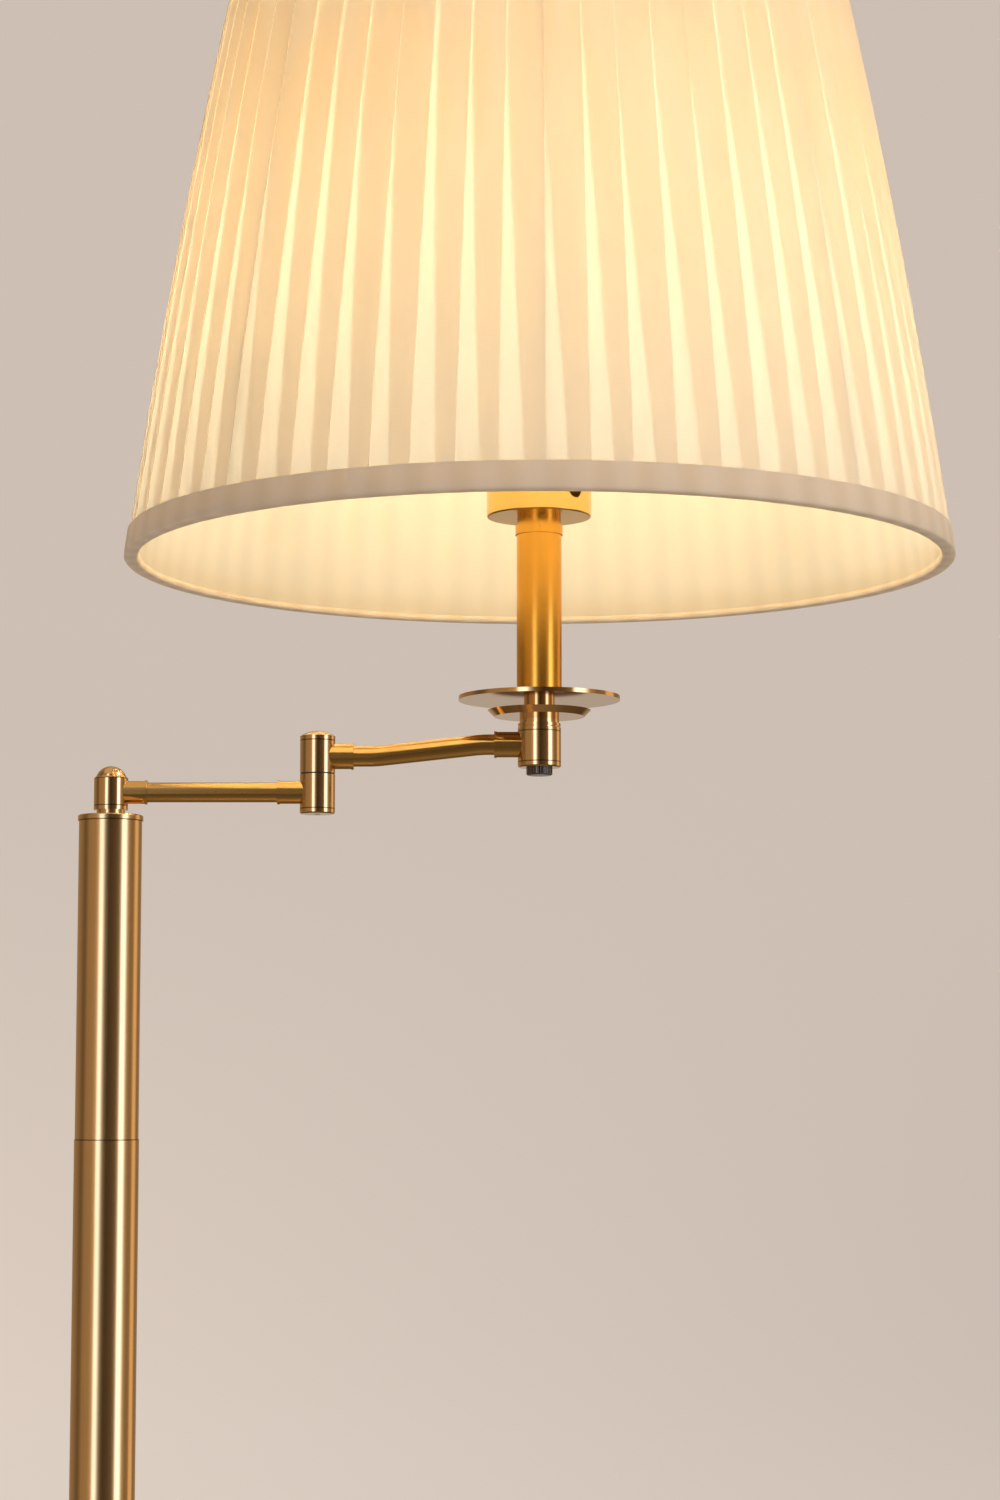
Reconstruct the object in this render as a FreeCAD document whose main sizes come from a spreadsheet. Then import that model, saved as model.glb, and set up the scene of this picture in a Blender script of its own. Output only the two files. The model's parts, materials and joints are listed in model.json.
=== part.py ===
import FreeCAD, Part
import os
import re
import math
import Sketcher

# Swing-arm floor lamp: a weighted base, a two-section column, two level arms joined by
# vertical pivots, and a candle-style lamp head that carries a pleated empire shade.
# +Z is up, the origin is on the floor under the column, and both arms point along +X.
# Millimetres and degrees throughout.

doc = FreeCAD.newDocument("swing_arm_floor_lamp")

SIZES = [
    # base
    ("pad_inset", 3.0, "felt pad's edge inside the weight's edge"),
    ("pad_height", 3.0, "felt pad thickness"),
    ("weight_gap", 1.8, "room between the weight and the cover's side"),
    ("weight_height", 18.0, "iron weight thickness"),
    ("weight_chamfer", 6.0, "bevel under the cover's rounded shoulder"),
    ("recess_radius", 24.0, "nut recess under the weight"),
    ("recess_depth", 12.0, "nut recess depth"),
    ("channel_gap", 0.8, "room between the cord channel and the gland"),
    ("cover_radius", 140.0, "spun cover, outside"),
    ("cover_wall", 1.2, "spun cover sheet"),
    ("cover_lift", 1.5, "cover's lower edge above the floor"),
    ("cover_shoulder", 7.0, "rounded shoulder of the cover"),
    ("boss_radius", 46.0, "raised centre of the cover"),
    ("boss_height", 4.0, "how far the cover's centre is raised"),
    ("collar_wall", 3.5, "foot collar's wall round the column"),
    ("collar_spread", 5.5, "foot collar's flange beyond its wall"),
    ("collar_flange", 2.5, "foot collar flange thickness"),
    ("collar_height", 14.0, "foot collar height"),
    ("gland_rise", 3.0, "gland flange's lowest point above the floor"),
    ("gland_bore", 3.5, "radius of the cord hole"),
    ("gland_wall", 1.2, "wall of the gland's barrel"),
    ("gland_rim", 1.8, "gland's flange beyond its barrel"),
    ("gland_flange_height", 2.5, "thickness of the gland's flange"),
    ("gland_length", 14.0, "length of the gland's barrel"),
    # column
    ("column_top", 1100.0, "top of the column cap above the floor"),
    ("lower_radius", 16.0, "lower column section"),
    ("upper_radius", 15.7, "upper column section"),
    ("column_wall", 1.2, "column tube wall"),
    ("upper_length", 158.0, "upper column section between its seams"),
    ("coupler_reach", 20.0, "coupler length into each section"),
    ("cap_overhang", 0.55, "column cap's rim beyond the tube"),
    ("cap_rim", 2.9, "height of the cap's rim"),
    ("cap_round", 1.0, "rounded top edge of the cap"),
    ("cap_skirt", 8.0, "cap's skirt inside the tube"),
    ("neck_wall", 1.95, "wall of the neck on the cap"),
    ("neck_height", 1.7, "height of that neck"),
    ("pipe_radius", 5.0, "threaded M10 lamp pipe"),
    ("pipe_bore", 3.4, "bore of the lamp pipe and the hollow pins"),
    ("nut_wall", 3.45, "base nut's wall at its flats"),
    ("nut_height", 6.0, "base nut height"),
    ("washer_width", 9.95, "base washer's width"),
    ("washer_height", 2.0, "base washer thickness"),
    # column swivel
    ("swivel_wall", 1.3, "swivel barrel's wall round its nut pocket"),
    ("swivel_height", 16.7, "swivel barrel height"),
    ("swivel_bevel", 0.8, "bevel at the barrel's top edge"),
    ("swivel_washer", 0.8, "thrust washer under the barrel"),
    ("dome_margin", 1.0, "domed cap's edge inside the barrel's edge"),
    ("dome_rise", 5.4, "height of the dome"),
    # pivot hardware shared by both joints
    ("clamp_wall", 1.65, "width of the ring nut and spring washer"),
    ("clamp_gap", 0.5, "room round them in their pocket"),
    ("clamp_nut", 2.8, "ring nut thickness"),
    ("clamp_spring", 0.7, "spring washer thickness"),
    ("cap_spigot", 0.8, "spigot of a cap inside its barrel"),
    ("window_radius", 2.8, "wire window in a pivot pin"),
    # arm 1
    ("arm1_length", 103.2, "column axis to elbow axis"),
    ("arm1_seat", 8.9, "arm 1 centreline above the swivel barrel's floor"),
    ("arm1_radius", 5.0, "arm 1 tube"),
    ("arm1_sleeve", 0.75, "wall of arm 1's ferrules"),
    ("arm1_inner_reach", 18.2, "inner ferrule's end from the column axis"),
    ("arm1_outer_reach", 20.0, "outer ferrule's end from the elbow axis"),
    ("arm_wall", 1.0, "arm tube wall"),
    ("bead_rise", 0.3, "raised bead at a ferrule's mouth"),
    ("bead_width", 1.2, "width of that bead"),
    # elbow
    ("elbow_wall", 1.6, "elbow barrels' wall round the nut pocket"),
    ("elbow_seat", 8.2, "arm 1 centreline above the elbow's floor"),
    ("elbow_lower", 17.1, "elbow lower barrel height"),
    ("elbow_washer", 0.7, "thrust washer between the barrels"),
    ("elbow_upper", 17.2, "elbow upper barrel height"),
    ("elbow_cap", 2.7, "elbow bottom cap height"),
    ("elbow_cap_round", 0.9, "rounded edge of the bottom cap"),
    ("elbow_cap_hole", 1.7, "hole in the bottom cap"),
    ("crown_rim", 1.4, "straight rim of the crown cap"),
    ("crown_rise", 2.7, "height of the crown cap's dome"),
    # arm 2
    ("arm2_length", 111.0, "elbow axis to head axis"),
    ("arm2_seat", 8.5, "arm 2 centreline above the upper barrel's floor"),
    ("arm2_crank", 5.9, "how far arm 2 climbs to the head"),
    ("arm2_level", 25.5, "level run of arm 2 from each axis"),
    ("arm2_bend", 60.0, "radius of arm 2's two bends"),
    ("arm2_radius", 5.2, "arm 2 tube"),
    ("arm2_sleeve", 1.25, "wall of arm 2's ferrules"),
    ("arm2_inner_reach", 18.1, "inner ferrule's end from the elbow axis"),
    ("arm2_outer_reach", 22.6, "outer ferrule's end from the head axis"),
    # head
    ("head_wall", 5.8, "head barrel's wall"),
    ("head_below", 8.8, "head barrel below arm 2's centreline"),
    ("head_above", 8.4, "head barrel above arm 2's centreline"),
    ("head_cap", 2.8, "head bottom cap height"),
    ("head_cap_round", 1.0, "rounded edge of that cap"),
    ("knob_wall", 1.5, "knurled nut's wall"),
    ("knob_height", 3.9, "knurled nut height"),
    ("knob_floor", 1.2, "closed end of the knurled nut"),
    ("knurl_count", 30, "grooves round the nut"),
    ("knurl_radius", 0.45, "radius of a groove"),
    ("collar_groove", 0.6, "groove between barrel and collar bead"),
    ("collar_bead", 1.5, "height of the collar's bead"),
    ("collar_bead_inset", 0.15, "collar's bead inside the barrel's edge"),
    ("collar_body_inset", 0.95, "rest of the collar inside that edge"),
    ("collar_total", 5.6, "height of the whole collar"),
    ("dish_bottom", 22.6, "small dish, underside"),
    ("dish_top", 25.9, "small dish, rim"),
    ("dish_height", 3.3, "small dish height"),
    ("dish_wall", 1.2, "small dish rim"),
    ("dish_hollow", 1.6, "depth of the dish's hollow"),
    ("spacer_radius", 7.7, "spacer between dish and drip pan"),
    ("spacer_height", 4.9, "height of that spacer"),
    ("pan_radius", 40.5, "drip pan"),
    ("pan_height", 2.1, "drip pan rim height"),
    ("pan_hollow", 0.8, "depth of the drip pan's hollow"),
    ("pan_rim", 2.2, "width of the drip pan's rim"),
    ("candle_radius", 11.3, "candle tube"),
    ("candle_wall", 1.0, "candle tube wall"),
    ("candle_height", 82.6, "candle tube height"),
    ("ring_overhang", 0.65, "ring beyond the candle tube"),
    ("ring_height", 4.6, "height of that ring"),
    ("ring_spigot", 6.0, "ring's spigot inside the candle tube"),
    ("ring_neck_inset", 0.3, "neck above the ring, inside the tube's edge"),
    ("ring_neck_height", 4.5, "height of that neck"),
    ("cup_gap", 3.35, "room between cup and lampholder"),
    ("cup_height", 26.0, "lampholder cup height"),
    ("cup_wall", 1.2, "lampholder cup wall"),
    ("cup_round", 0.8, "rounded lower edge of the cup"),
    ("cup_hole", 4.2, "radius of the cup's side hole"),
    ("cup_hole_height", 11.0, "side hole's centre above the cup's floor"),
    ("cup_hole_turn", -47.0, "direction of the side hole, from +X"),
    # lampholder and bulb
    ("holder_foot", 13.0, "lampholder's foot radius"),
    ("holder_foot_height", 12.0, "height of that foot"),
    ("holder_ledge", 2.2, "ledge on which the shade fitter rests"),
    ("holder_radius", 19.6, "lampholder's threaded skirt radius"),
    ("holder_height", 58.0, "lampholder height"),
    ("holder_gap", 1.8, "room between the bulb's cap and the lampholder's mouth"),
    ("holder_depth", 28.0, "depth of the mouth"),
    ("shade_ring_width", 4.35, "width of the shade retaining ring"),
    ("shade_ring_height", 6.0, "shade retaining ring height"),
    ("bulb_cap_radius", 13.2, "screw cap of the bulb"),
    ("bulb_cap_height", 27.0, "screw cap length"),
    ("bulb_radius", 30.0, "glass bulb"),
    ("bulb_height", 82.0, "glass above the screw cap"),
    ("bulb_neck_step", 1.0, "glass beyond the screw cap at the neck"),
    ("bulb_wall", 1.0, "glass thickness"),
    # shade
    ("fitter_drop", 75.2, "shade's lower edge below its fitter ring"),
    ("shade_height", 335.0, "shade height"),
    ("shade_bottom", 207.2, "outside radius of the cover at the lower edge"),
    ("shade_top", 148.2, "outside radius of the cover at the upper edge"),
    ("shade_bulge", 3.3, "how far the side bows out from a straight cone"),
    ("cover_depth", 2.4, "depth of the pleated cover"),
    ("frame_wire", 1.3, "radius of the frame's ring wire"),
    ("rib_wire", 1.0, "radius of the frame's upright wires"),
    ("lining_depth", 0.6, "thickness of the lining"),
    ("tape_height", 13.2, "height of the binding tape"),
    ("tape_depth", 0.7, "thickness of the binding tape"),
    ("tape_fold", 2.6, "height of the tape's inner fold"),
    ("rib_count", 8, "upright wires in the frame"),
    ("fitter_width", 5.55, "width of the fitter ring"),
    ("fitter_height", 1.6, "thickness of the fitter ring"),
    ("spoke_count", 4, "spokes of the fitter"),
    ("spoke_radius", 1.4, "radius of a spoke"),
    # wiring and fits
    ("wire_radius", 2.0, "two-core wire inside the lamp"),
    ("running_gap", 0.05, "radial clearance of pins, threads and sliding fits"),
    ("loose_gap", 0.3, "clearance between parts that don't seat on each other"),
    ("wire_gap", 1.0, "space left between a wire's end and its pin"),
]

LEVELS = [
    # radii and heights that follow from the sizes
    ("pin_bore", "pipe_radius + running_gap"),
    ("weight_radius", "cover_radius - cover_wall - weight_gap"),
    ("pad_radius", "weight_radius - pad_inset"),
    ("gland_barrel", "gland_bore + gland_wall"),
    ("gland_flange", "gland_barrel + gland_rim"),
    ("gland_height", "gland_rise + gland_flange"),
    ("channel_depth", "gland_height + gland_barrel + channel_gap - pad_height"),
    ("weight_top", "pad_height + weight_height"),
    ("cover_top", "weight_top + loose_gap + cover_wall"),
    ("boss_top", "cover_top + boss_height"),
    ("collar_neck", "lower_radius + collar_wall"),
    ("collar_radius", "collar_neck + collar_spread"),
    ("cap_radius", "upper_radius + cap_overhang"),
    ("neck_radius", "pin_bore + neck_wall"),
    ("upper_seam", "column_top - cap_rim"),
    ("lower_seam", "upper_seam - upper_length"),
    ("clamp_radius", "pin_bore + clamp_wall"),
    ("clamp_bore", "clamp_radius + clamp_gap"),
    ("pocket_depth", "clamp_nut + clamp_spring + loose_gap + cap_spigot"),
    ("swivel_radius", "clamp_bore + swivel_wall"),
    ("dome_radius", "swivel_radius - dome_margin"),
    ("swivel_floor", "column_top + neck_height + swivel_washer"),
    ("swivel_roof", "swivel_floor + swivel_height"),
    ("arm1_height", "swivel_floor + arm1_seat"),
    ("arm1_ferrule", "arm1_radius + arm1_sleeve"),
    ("elbow_radius", "clamp_bore + elbow_wall"),
    ("elbow_floor", "arm1_height - elbow_seat"),
    ("elbow_seam", "elbow_floor + elbow_lower"),
    ("elbow_deck", "elbow_seam + elbow_washer"),
    ("elbow_roof", "elbow_deck + elbow_upper"),
    ("arm2_ferrule", "arm2_radius + arm2_sleeve"),
    ("arm2_start", "elbow_deck + arm2_seat"),
    ("arm2_end", "arm2_start + arm2_crank"),
    ("head_x", "arm1_length + arm2_length"),
    ("head_radius", "pin_bore + head_wall"),
    ("head_floor", "arm2_end - head_below"),
    ("head_roof", "arm2_end + head_above"),
    ("knob_radius", "pin_bore + knob_wall"),
    ("knob_base", "head_floor - head_cap - knob_height"),
    ("collar_bead_radius", "head_radius - collar_bead_inset"),
    ("collar_body_radius", "head_radius - collar_body_inset"),
    ("dish_floor", "head_roof + collar_total"),
    ("spacer_floor", "dish_floor + dish_height - dish_hollow"),
    ("pan_floor", "dish_floor + dish_height + spacer_height"),
    ("candle_floor", "pan_floor + pan_height - pan_hollow"),
    ("candle_roof", "candle_floor + candle_height"),
    ("ring_radius", "candle_radius + ring_overhang"),
    ("ring_neck_radius", "candle_radius - ring_neck_inset"),
    ("holder_shoulder", "holder_radius + holder_ledge"),
    ("holder_bore", "bulb_cap_radius + holder_gap"),
    ("cup_radius", "holder_shoulder + cup_gap + cup_wall"),
    ("cup_floor", "candle_roof + ring_height + ring_neck_height"),
    ("holder_floor", "cup_floor + cup_wall"),
    ("holder_roof", "holder_floor + holder_height"),
    ("shade_ring_radius", "holder_radius + running_gap + shade_ring_width"),
    ("fitter_radius", "holder_radius + running_gap + fitter_width"),
    ("fitter_floor", "holder_roof - shade_ring_height - fitter_height"),
    ("bulb_neck", "bulb_cap_radius + bulb_neck_step"),
    ("bulb_floor", "holder_roof - holder_depth + loose_gap"),
    ("glass_floor", "bulb_floor + bulb_cap_height"),
    ("shade_floor", "fitter_floor - fitter_drop"),
    ("shade_chord", "sqrt(shade_height^2 + (shade_bottom - shade_top)^2)"),
    ("shade_arc", "shade_chord^2 / (8 * shade_bulge) + shade_bulge / 2"),
    ("arc_x", "(shade_bottom + shade_top) / 2 - shade_height * (shade_arc - shade_bulge) / shade_chord"),
    ("arc_z", "shade_height / 2 - (shade_bottom - shade_top) * (shade_arc - shade_bulge) / shade_chord"),
    ("frame_inset", "cover_depth + frame_wire + running_gap"),
    ("lining_inset", "cover_depth + 2 * frame_wire + 2 * running_gap"),
]


def fill_sheet(name, rows, formula):
    """Write one row per value: what it means, and the value under its alias."""
    sheet = doc.addObject("Spreadsheet::Sheet", name)
    for number, (alias, content, meaning) in enumerate(rows, start=1):
        sheet.set("A%d" % number, meaning)
        sheet.set("B%d" % number, formula(content))
        sheet.setAlias("B%d" % number, alias)
    return sheet


size_names = {alias for alias, number, meaning in SIZES}
level_names = {alias for alias, formula in LEVELS}


def cells(expression):
    """Turn bare names in an expression into references to the sheets' cells."""
    def reference(match):
        word = match.group(0)
        if word in size_names:
            return "Sizes." + word
        if word in level_names:
            return "Levels." + word
        return word
    return re.sub(r"[A-Za-z_][A-Za-z_0-9]*", reference, str(expression))


sizes = fill_sheet("Sizes", SIZES, str)
doc.recompute()
levels = fill_sheet("Levels", [(alias, formula, alias.replace("_", " ")) for alias, formula in LEVELS],
                    lambda formula: "=" + cells(formula).replace("Levels.", ""))
doc.recompute()


def value(expression):
    """The present number of an expression of sheet names."""
    result = sizes.evalExpression(cells(expression))
    return float(getattr(result, "Value", result))


def bind(item, **properties):
    """Tie an object's properties to expressions of sheet names."""
    for name, expression in properties.items():
        item.setExpression(name, cells(expression))


def place(item, x="0", z="0"):
    """Tie where an object stands to the sheets."""
    item.setExpression("Placement.Base.x", cells(x))
    item.setExpression("Placement.Base.z", cells(z))
    return item


parts = []


def part(label, item):
    """Name a finished sub-part, which is written to a file of that name."""
    item.Label = label
    parts.append(item)
    return item


# ---- building blocks ----------------------------------------------------------------

def cylinder(name, radius, height, x="0", z="0"):
    solid = doc.addObject("Part::Cylinder", name)
    bind(solid, Radius=radius, Height=height)
    return place(solid, x, z)


def rod(name, radius, length, x, z, turn=0.0):
    """A level cylinder that runs from (x, z) along +X, turned about the vertical."""
    solid = doc.addObject("Part::Cylinder", name)
    bind(solid, Radius=radius, Height=length)
    level = FreeCAD.Rotation(FreeCAD.Vector(0, 1, 0), 90)
    heading = FreeCAD.Rotation(FreeCAD.Vector(0, 0, 1), turn)
    solid.Placement = FreeCAD.Placement(FreeCAD.Vector(), heading * level)
    return place(solid, x, z)


def cut(name, base, tool):
    item = doc.addObject("Part::Cut", name)
    item.Base = base
    item.Tool = tool
    return item


def fuse(name, *pieces):
    item = doc.addObject("Part::MultiFuse", name)
    item.Shapes = list(pieces)
    return item


def common(name, *pieces):
    item = doc.addObject("Part::MultiCommon", name)
    item.Shapes = list(pieces)
    return item


def sleeve(label, outer, inner, height, x="0", z="0"):
    """A plain upright tube or ring."""
    outside = cylinder(label + "_outside", outer, height, x, z)
    bore = cylinder(label + "_bore", inner, height, x, z)
    return part(label, cut(label, outside, bore))


def level_sleeve(name, outer, inner, length, x, z):
    """A plain tube along X."""
    outside = rod(name + "_outside", outer, length, x, z)
    bore = rod(name + "_bore", inner, length, x, z)
    return cut(name, outside, bore)


def plane_of(body, role):
    return next(item for item in body.Origin.OriginFeatures if item.Role == role)


def new_sketch(body, name, role="XZ_Plane"):
    sketch = body.newObject("Sketcher::SketchObject", name)
    sketch.AttachmentSupport = (plane_of(body, role), [""])
    sketch.MapMode = "FlatFace"
    return sketch


def fix_point(sketch, curve, end, across, up, name):
    """Hold a sketch point at (across, up), each an expression of sheet names."""
    for axis, kind, expression in ((-2, "DistanceX", across), (-1, "DistanceY", up)):
        if expression is None:
            continue
        if str(expression) == "0":
            sketch.addConstraint(Sketcher.Constraint("PointOnObject", curve, end, axis))
            continue
        label = "%s_%s" % (name, kind)
        number = value(expression)
        index = sketch.addConstraint(Sketcher.Constraint(kind, -1, 1, curve, end, number))
        sketch.renameConstraint(index, label)
        sketch.setExpression("Constraints." + label, cells(expression))


def turned(label, corners, x="0", z="0"):
    """A piece turned about its upright axis; corners are (radius, height) round its half section."""
    body = doc.addObject("PartDesign::Body", label)
    sketch = new_sketch(body, label + "_section")
    points = [FreeCAD.Vector(value(radius), value(height), 0) for radius, height in corners]
    for number, point in enumerate(points):
        following = points[(number + 1) % len(points)]
        sketch.addGeometry(Part.LineSegment(point, following), False)
    for number in range(len(points)):
        before = (number - 1) % len(points)
        sketch.addConstraint(Sketcher.Constraint("Coincident", before, 2, number, 1))
    for number, (radius, height) in enumerate(corners):
        fix_point(sketch, number, 1, radius, height, "corner_%d" % number)
    turn = body.newObject("PartDesign::Revolution", label + "_turning")
    turn.Profile = sketch
    turn.ReferenceAxis = (sketch, ["V_Axis"])
    turn.Angle = 360
    place(body, x, z)
    return part(label, body)


def rim_edges(shape, places):
    """Names of the circular edges with the given (radius, height)."""
    names = []
    for number, edge in enumerate(shape.Edges, start=1):
        if not isinstance(edge.Curve, Part.Circle):
            continue
        for radius, height in places:
            same_radius = abs(edge.Curve.Radius - value(radius)) < 0.001
            same_height = abs(edge.Curve.Center.z - value(height)) < 0.001
            if same_radius and same_height:
                names.append("Edge%d" % number)
    return names


def soften(body, kind, size, *places):
    """Round (Fillet) or bevel (Chamfer) the circular edges of a turned body."""
    doc.recompute()
    base = body.Tip
    feature = body.newObject("PartDesign::" + kind, "%s_%s" % (body.Label, kind.lower()))
    feature.Base = (base, rim_edges(base.Shape, places))
    bind(feature, **{"Radius" if kind == "Fillet" else "Size": size})
    body.Tip = feature
    return body


def domed(name, radius, rim, rise, x, z):
    """A disc with a straight rim under a spherical top."""
    ball = doc.addObject("Part::Sphere", name + "_ball")
    ball_radius = "((%s)^2 + (%s)^2) / (2 * (%s))" % (radius, rise, rise)
    bind(ball, Radius=ball_radius)
    place(ball, x, "%s + %s + %s - %s" % (z, rim, rise, ball_radius))
    disc = cylinder(name + "_disc", radius, "%s + %s" % (rim, rise), x, z)
    return common(name, disc, ball)


# ---- base ---------------------------------------------------------------------------

def base_pad():
    part("base_pad", cylinder("base_pad", "pad_radius", "pad_height"))


def base_weight():
    """Iron disc with a nut recess below and a channel that brings the cord to the middle."""
    disc = turned("weight_disc", [
        ("pin_bore", "recess_depth"), ("recess_radius", "recess_depth"), ("recess_radius", "0"),
        ("weight_radius", "0"), ("weight_radius", "weight_height - weight_chamfer"),
        ("weight_radius - weight_chamfer", "weight_height"), ("pin_bore", "weight_height"),
    ], z="pad_height")
    parts.remove(disc)
    channel = doc.addObject("Part::Box", "cord_channel")
    channel_side = "gland_barrel + channel_gap"
    bind(channel, Length="weight_radius", Width="2 * (%s)" % channel_side, Height="channel_depth")
    place(channel, "0 - weight_radius", "pad_height")
    channel.setExpression("Placement.Base.y", cells("0 - (%s)" % channel_side))
    part("base_weight", cut("base_weight", disc, channel))


def base_cover():
    """Spun sheet with a rounded shoulder, a raised centre and a hole for the gland."""
    outer_top = "cover_top - cover_lift"
    outer_boss = "boss_top - cover_lift"
    shell = turned("cover_shell", [
        ("cover_radius", "0"), ("cover_radius", outer_top), ("boss_radius", outer_top),
        ("boss_radius - boss_height", outer_boss), ("pin_bore", outer_boss),
        ("pin_bore", outer_boss + " - cover_wall"),
        ("boss_radius - boss_height - cover_wall / 2", outer_boss + " - cover_wall"),
        ("boss_radius - cover_wall / 2", outer_top + " - cover_wall"),
        ("cover_radius - cover_wall", outer_top + " - cover_wall"), ("cover_radius - cover_wall", "0"),
    ], z="cover_lift")
    parts.remove(shell)
    soften(shell, "Fillet", "cover_shoulder", ("cover_radius", outer_top))
    shell.Tip.Label = "cover_outer_shoulder"
    inner = soften(shell, "Fillet", "cover_shoulder - cover_wall",
                   ("cover_radius - cover_wall", outer_top + " - cover_wall"))
    gland_hole = rod("gland_hole", "gland_barrel + running_gap", "2 * gland_length",
                     "0 - cover_radius - gland_length", "gland_height")
    part("base_cover", cut("base_cover", inner, gland_hole))


def base_collar():
    turned("base_collar", [
        ("lower_radius + running_gap", "0"), ("collar_radius", "0"), ("collar_radius", "collar_flange"),
        ("collar_neck + collar_spread / 4", "collar_flange + collar_spread / 4"),
        ("collar_neck", "collar_flange + collar_spread"),
        ("collar_neck", "collar_height"), ("lower_radius + running_gap", "collar_height"),
    ], z="boss_top")


def base_washer():
    sleeve("base_washer", "pin_bore + washer_width", "pin_bore", "washer_height",
           z="pad_height + recess_depth - washer_height")


def base_nut():
    """Hexagon nut that pulls the lamp pipe down."""
    hexagon = doc.addObject("Part::Prism", "base_nut_hexagon")
    hexagon.Polygon = 6
    bind(hexagon, Circumradius="(pin_bore + nut_wall) / cos(30 deg)", Height="nut_height")
    nut_floor = "pad_height + recess_depth - washer_height - nut_height"
    place(hexagon, z=nut_floor)
    bore = cylinder("base_nut_bore", "pin_bore", "nut_height", z=nut_floor)
    part("base_nut", cut("base_nut", hexagon, bore))


def cord_gland():
    """Bush in the back of the base; its flange sits on the cover's side."""
    flange = rod("gland_flange_disc", "gland_flange", "gland_flange_height",
                 "0 - cover_radius - gland_flange_height", "gland_height")
    barrel = rod("gland_tube", "gland_barrel", "gland_length",
                 "0 - cover_radius - gland_flange_height", "gland_height")
    bore = rod("gland_cord_bore", "gland_bore", "gland_length",
               "0 - cover_radius - gland_flange_height", "gland_height")
    skirt = cylinder("gland_seat", "cover_radius", "cover_top", z="0")
    seated = cut("gland_flange_seated", flange, skirt)
    part("cord_gland", cut("cord_gland", fuse("gland_outside", seated, barrel), bore))


# ---- column -------------------------------------------------------------------------

def lamp_pipe():
    pipe_floor = "pad_height + recess_depth - washer_height - nut_height - 1"
    sleeve("lamp_pipe", "pipe_radius", "pipe_bore", "upper_seam - cap_skirt / 2 - (%s)" % pipe_floor,
           z=pipe_floor)


def column_tubes():
    sleeve("column_lower_tube", "lower_radius", "lower_radius - column_wall",
           "lower_seam - boss_top", z="boss_top")
    sleeve("column_upper_tube", "upper_radius", "upper_radius - column_wall",
           "upper_length", z="lower_seam")


def column_coupler():
    """Turned plug that lines up the two tubes at their seam."""
    below = "lower_radius - column_wall - running_gap"
    above = "upper_radius - column_wall - running_gap"
    turned("column_coupler", [
        ("pin_bore", "0"), (below, "0"), (below, "coupler_reach"), (above, "coupler_reach"),
        (above, "2 * coupler_reach"), ("pin_bore", "2 * coupler_reach"),
    ], z="lower_seam - coupler_reach")


def column_cap():
    skirt = "upper_radius - column_wall - running_gap"
    rim_top = "cap_skirt + cap_rim"
    cap = turned("column_cap", [
        ("pin_bore", "0"), (skirt, "0"), (skirt, "cap_skirt"), ("cap_radius", "cap_skirt"),
        ("cap_radius", rim_top), ("neck_radius", rim_top), ("neck_radius", rim_top + " + neck_height"),
        ("pin_bore", rim_top + " + neck_height"),
    ], z="upper_seam - cap_skirt")
    soften(cap, "Fillet", "cap_round", ("cap_radius", rim_top))


# ---- column swivel ------------------------------------------------------------------

def pivot_pin(label, floor, roof, x, windows):
    """Hollow pin; windows are (height, turn) where the wire leaves it."""
    outside = cylinder(label + "_outside", "pipe_radius", "%s - (%s)" % (roof, floor), x, floor)
    tool = cylinder(label + "_bore", "pipe_bore", "%s - (%s)" % (roof, floor), x, floor)
    item = cut(label + "_bored", outside, tool)
    for number, (height, turn) in enumerate(windows):
        window = rod("%s_window_%d" % (label, number), "window_radius", "2 * pipe_radius", x, height, turn)
        item = cut("%s_opened_%d" % (label, number), item, window)
    part(label, item)


def barrel(label, radius, floor, height, x, side_radius, side_height, side_turn, pocket):
    """Upright barrel with a bore, a side seat for an arm tube and, if it turns, a pocket for its nut."""
    outside = cylinder(label + "_outside", radius, height, x, floor)
    tools = [
        cylinder(label + "_bore", "pin_bore", height, x, floor),
        rod(label + "_seat", side_radius, "2 * (%s)" % radius, x, side_height, side_turn),
    ]
    if pocket:
        tools.append(cylinder(label + "_pocket", "clamp_bore", "pocket_depth", x,
                              "%s + %s - pocket_depth" % (floor, height)))
    return cut(label, outside, fuse(label + "_openings", *tools))


def clamp(prefix, roof, x):
    """Spring washer and ring nut that hold a barrel on its pin."""
    spring_floor = "%s - pocket_depth" % roof
    sleeve(prefix + "_spring_washer", "clamp_radius", "pin_bore", "clamp_spring", x, spring_floor)
    sleeve(prefix + "_nut", "clamp_radius", "pin_bore", "clamp_nut", x, spring_floor + " + clamp_spring")


def column_swivel():
    pivot_pin("swivel_spindle", "upper_seam - cap_skirt / 2", "swivel_roof - cap_spigot - loose_gap", "0",
              [("arm1_height", 0)])
    sleeve("swivel_washer", "neck_radius", "pin_bore", "swivel_washer", z="column_top + neck_height")
    clamp("swivel", "swivel_roof", "0")
    body = barrel("swivel_barrel_blank", "swivel_radius", "swivel_floor", "swivel_height", "0",
                  "arm1_radius + running_gap", "arm1_height", 0, True)
    doc.recompute()
    bevel = doc.addObject("Part::Chamfer", "swivel_barrel")
    bevel.Base = body
    size = value("swivel_bevel")
    bevel.Edges = [(int(name[4:]), size, size)
                   for name in rim_edges(body.Shape, [("swivel_radius", "swivel_roof")])]
    part("swivel_barrel", bevel)
    dome = domed("swivel_dome_top", "dome_radius", "0", "dome_rise", "0", "swivel_roof")
    spigot = cylinder("swivel_dome_spigot", "clamp_bore - running_gap", "cap_spigot", "0",
                      "swivel_roof - cap_spigot")
    part("swivel_dome", fuse("swivel_dome", dome, spigot))


# ---- arm 1 --------------------------------------------------------------------------

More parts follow.
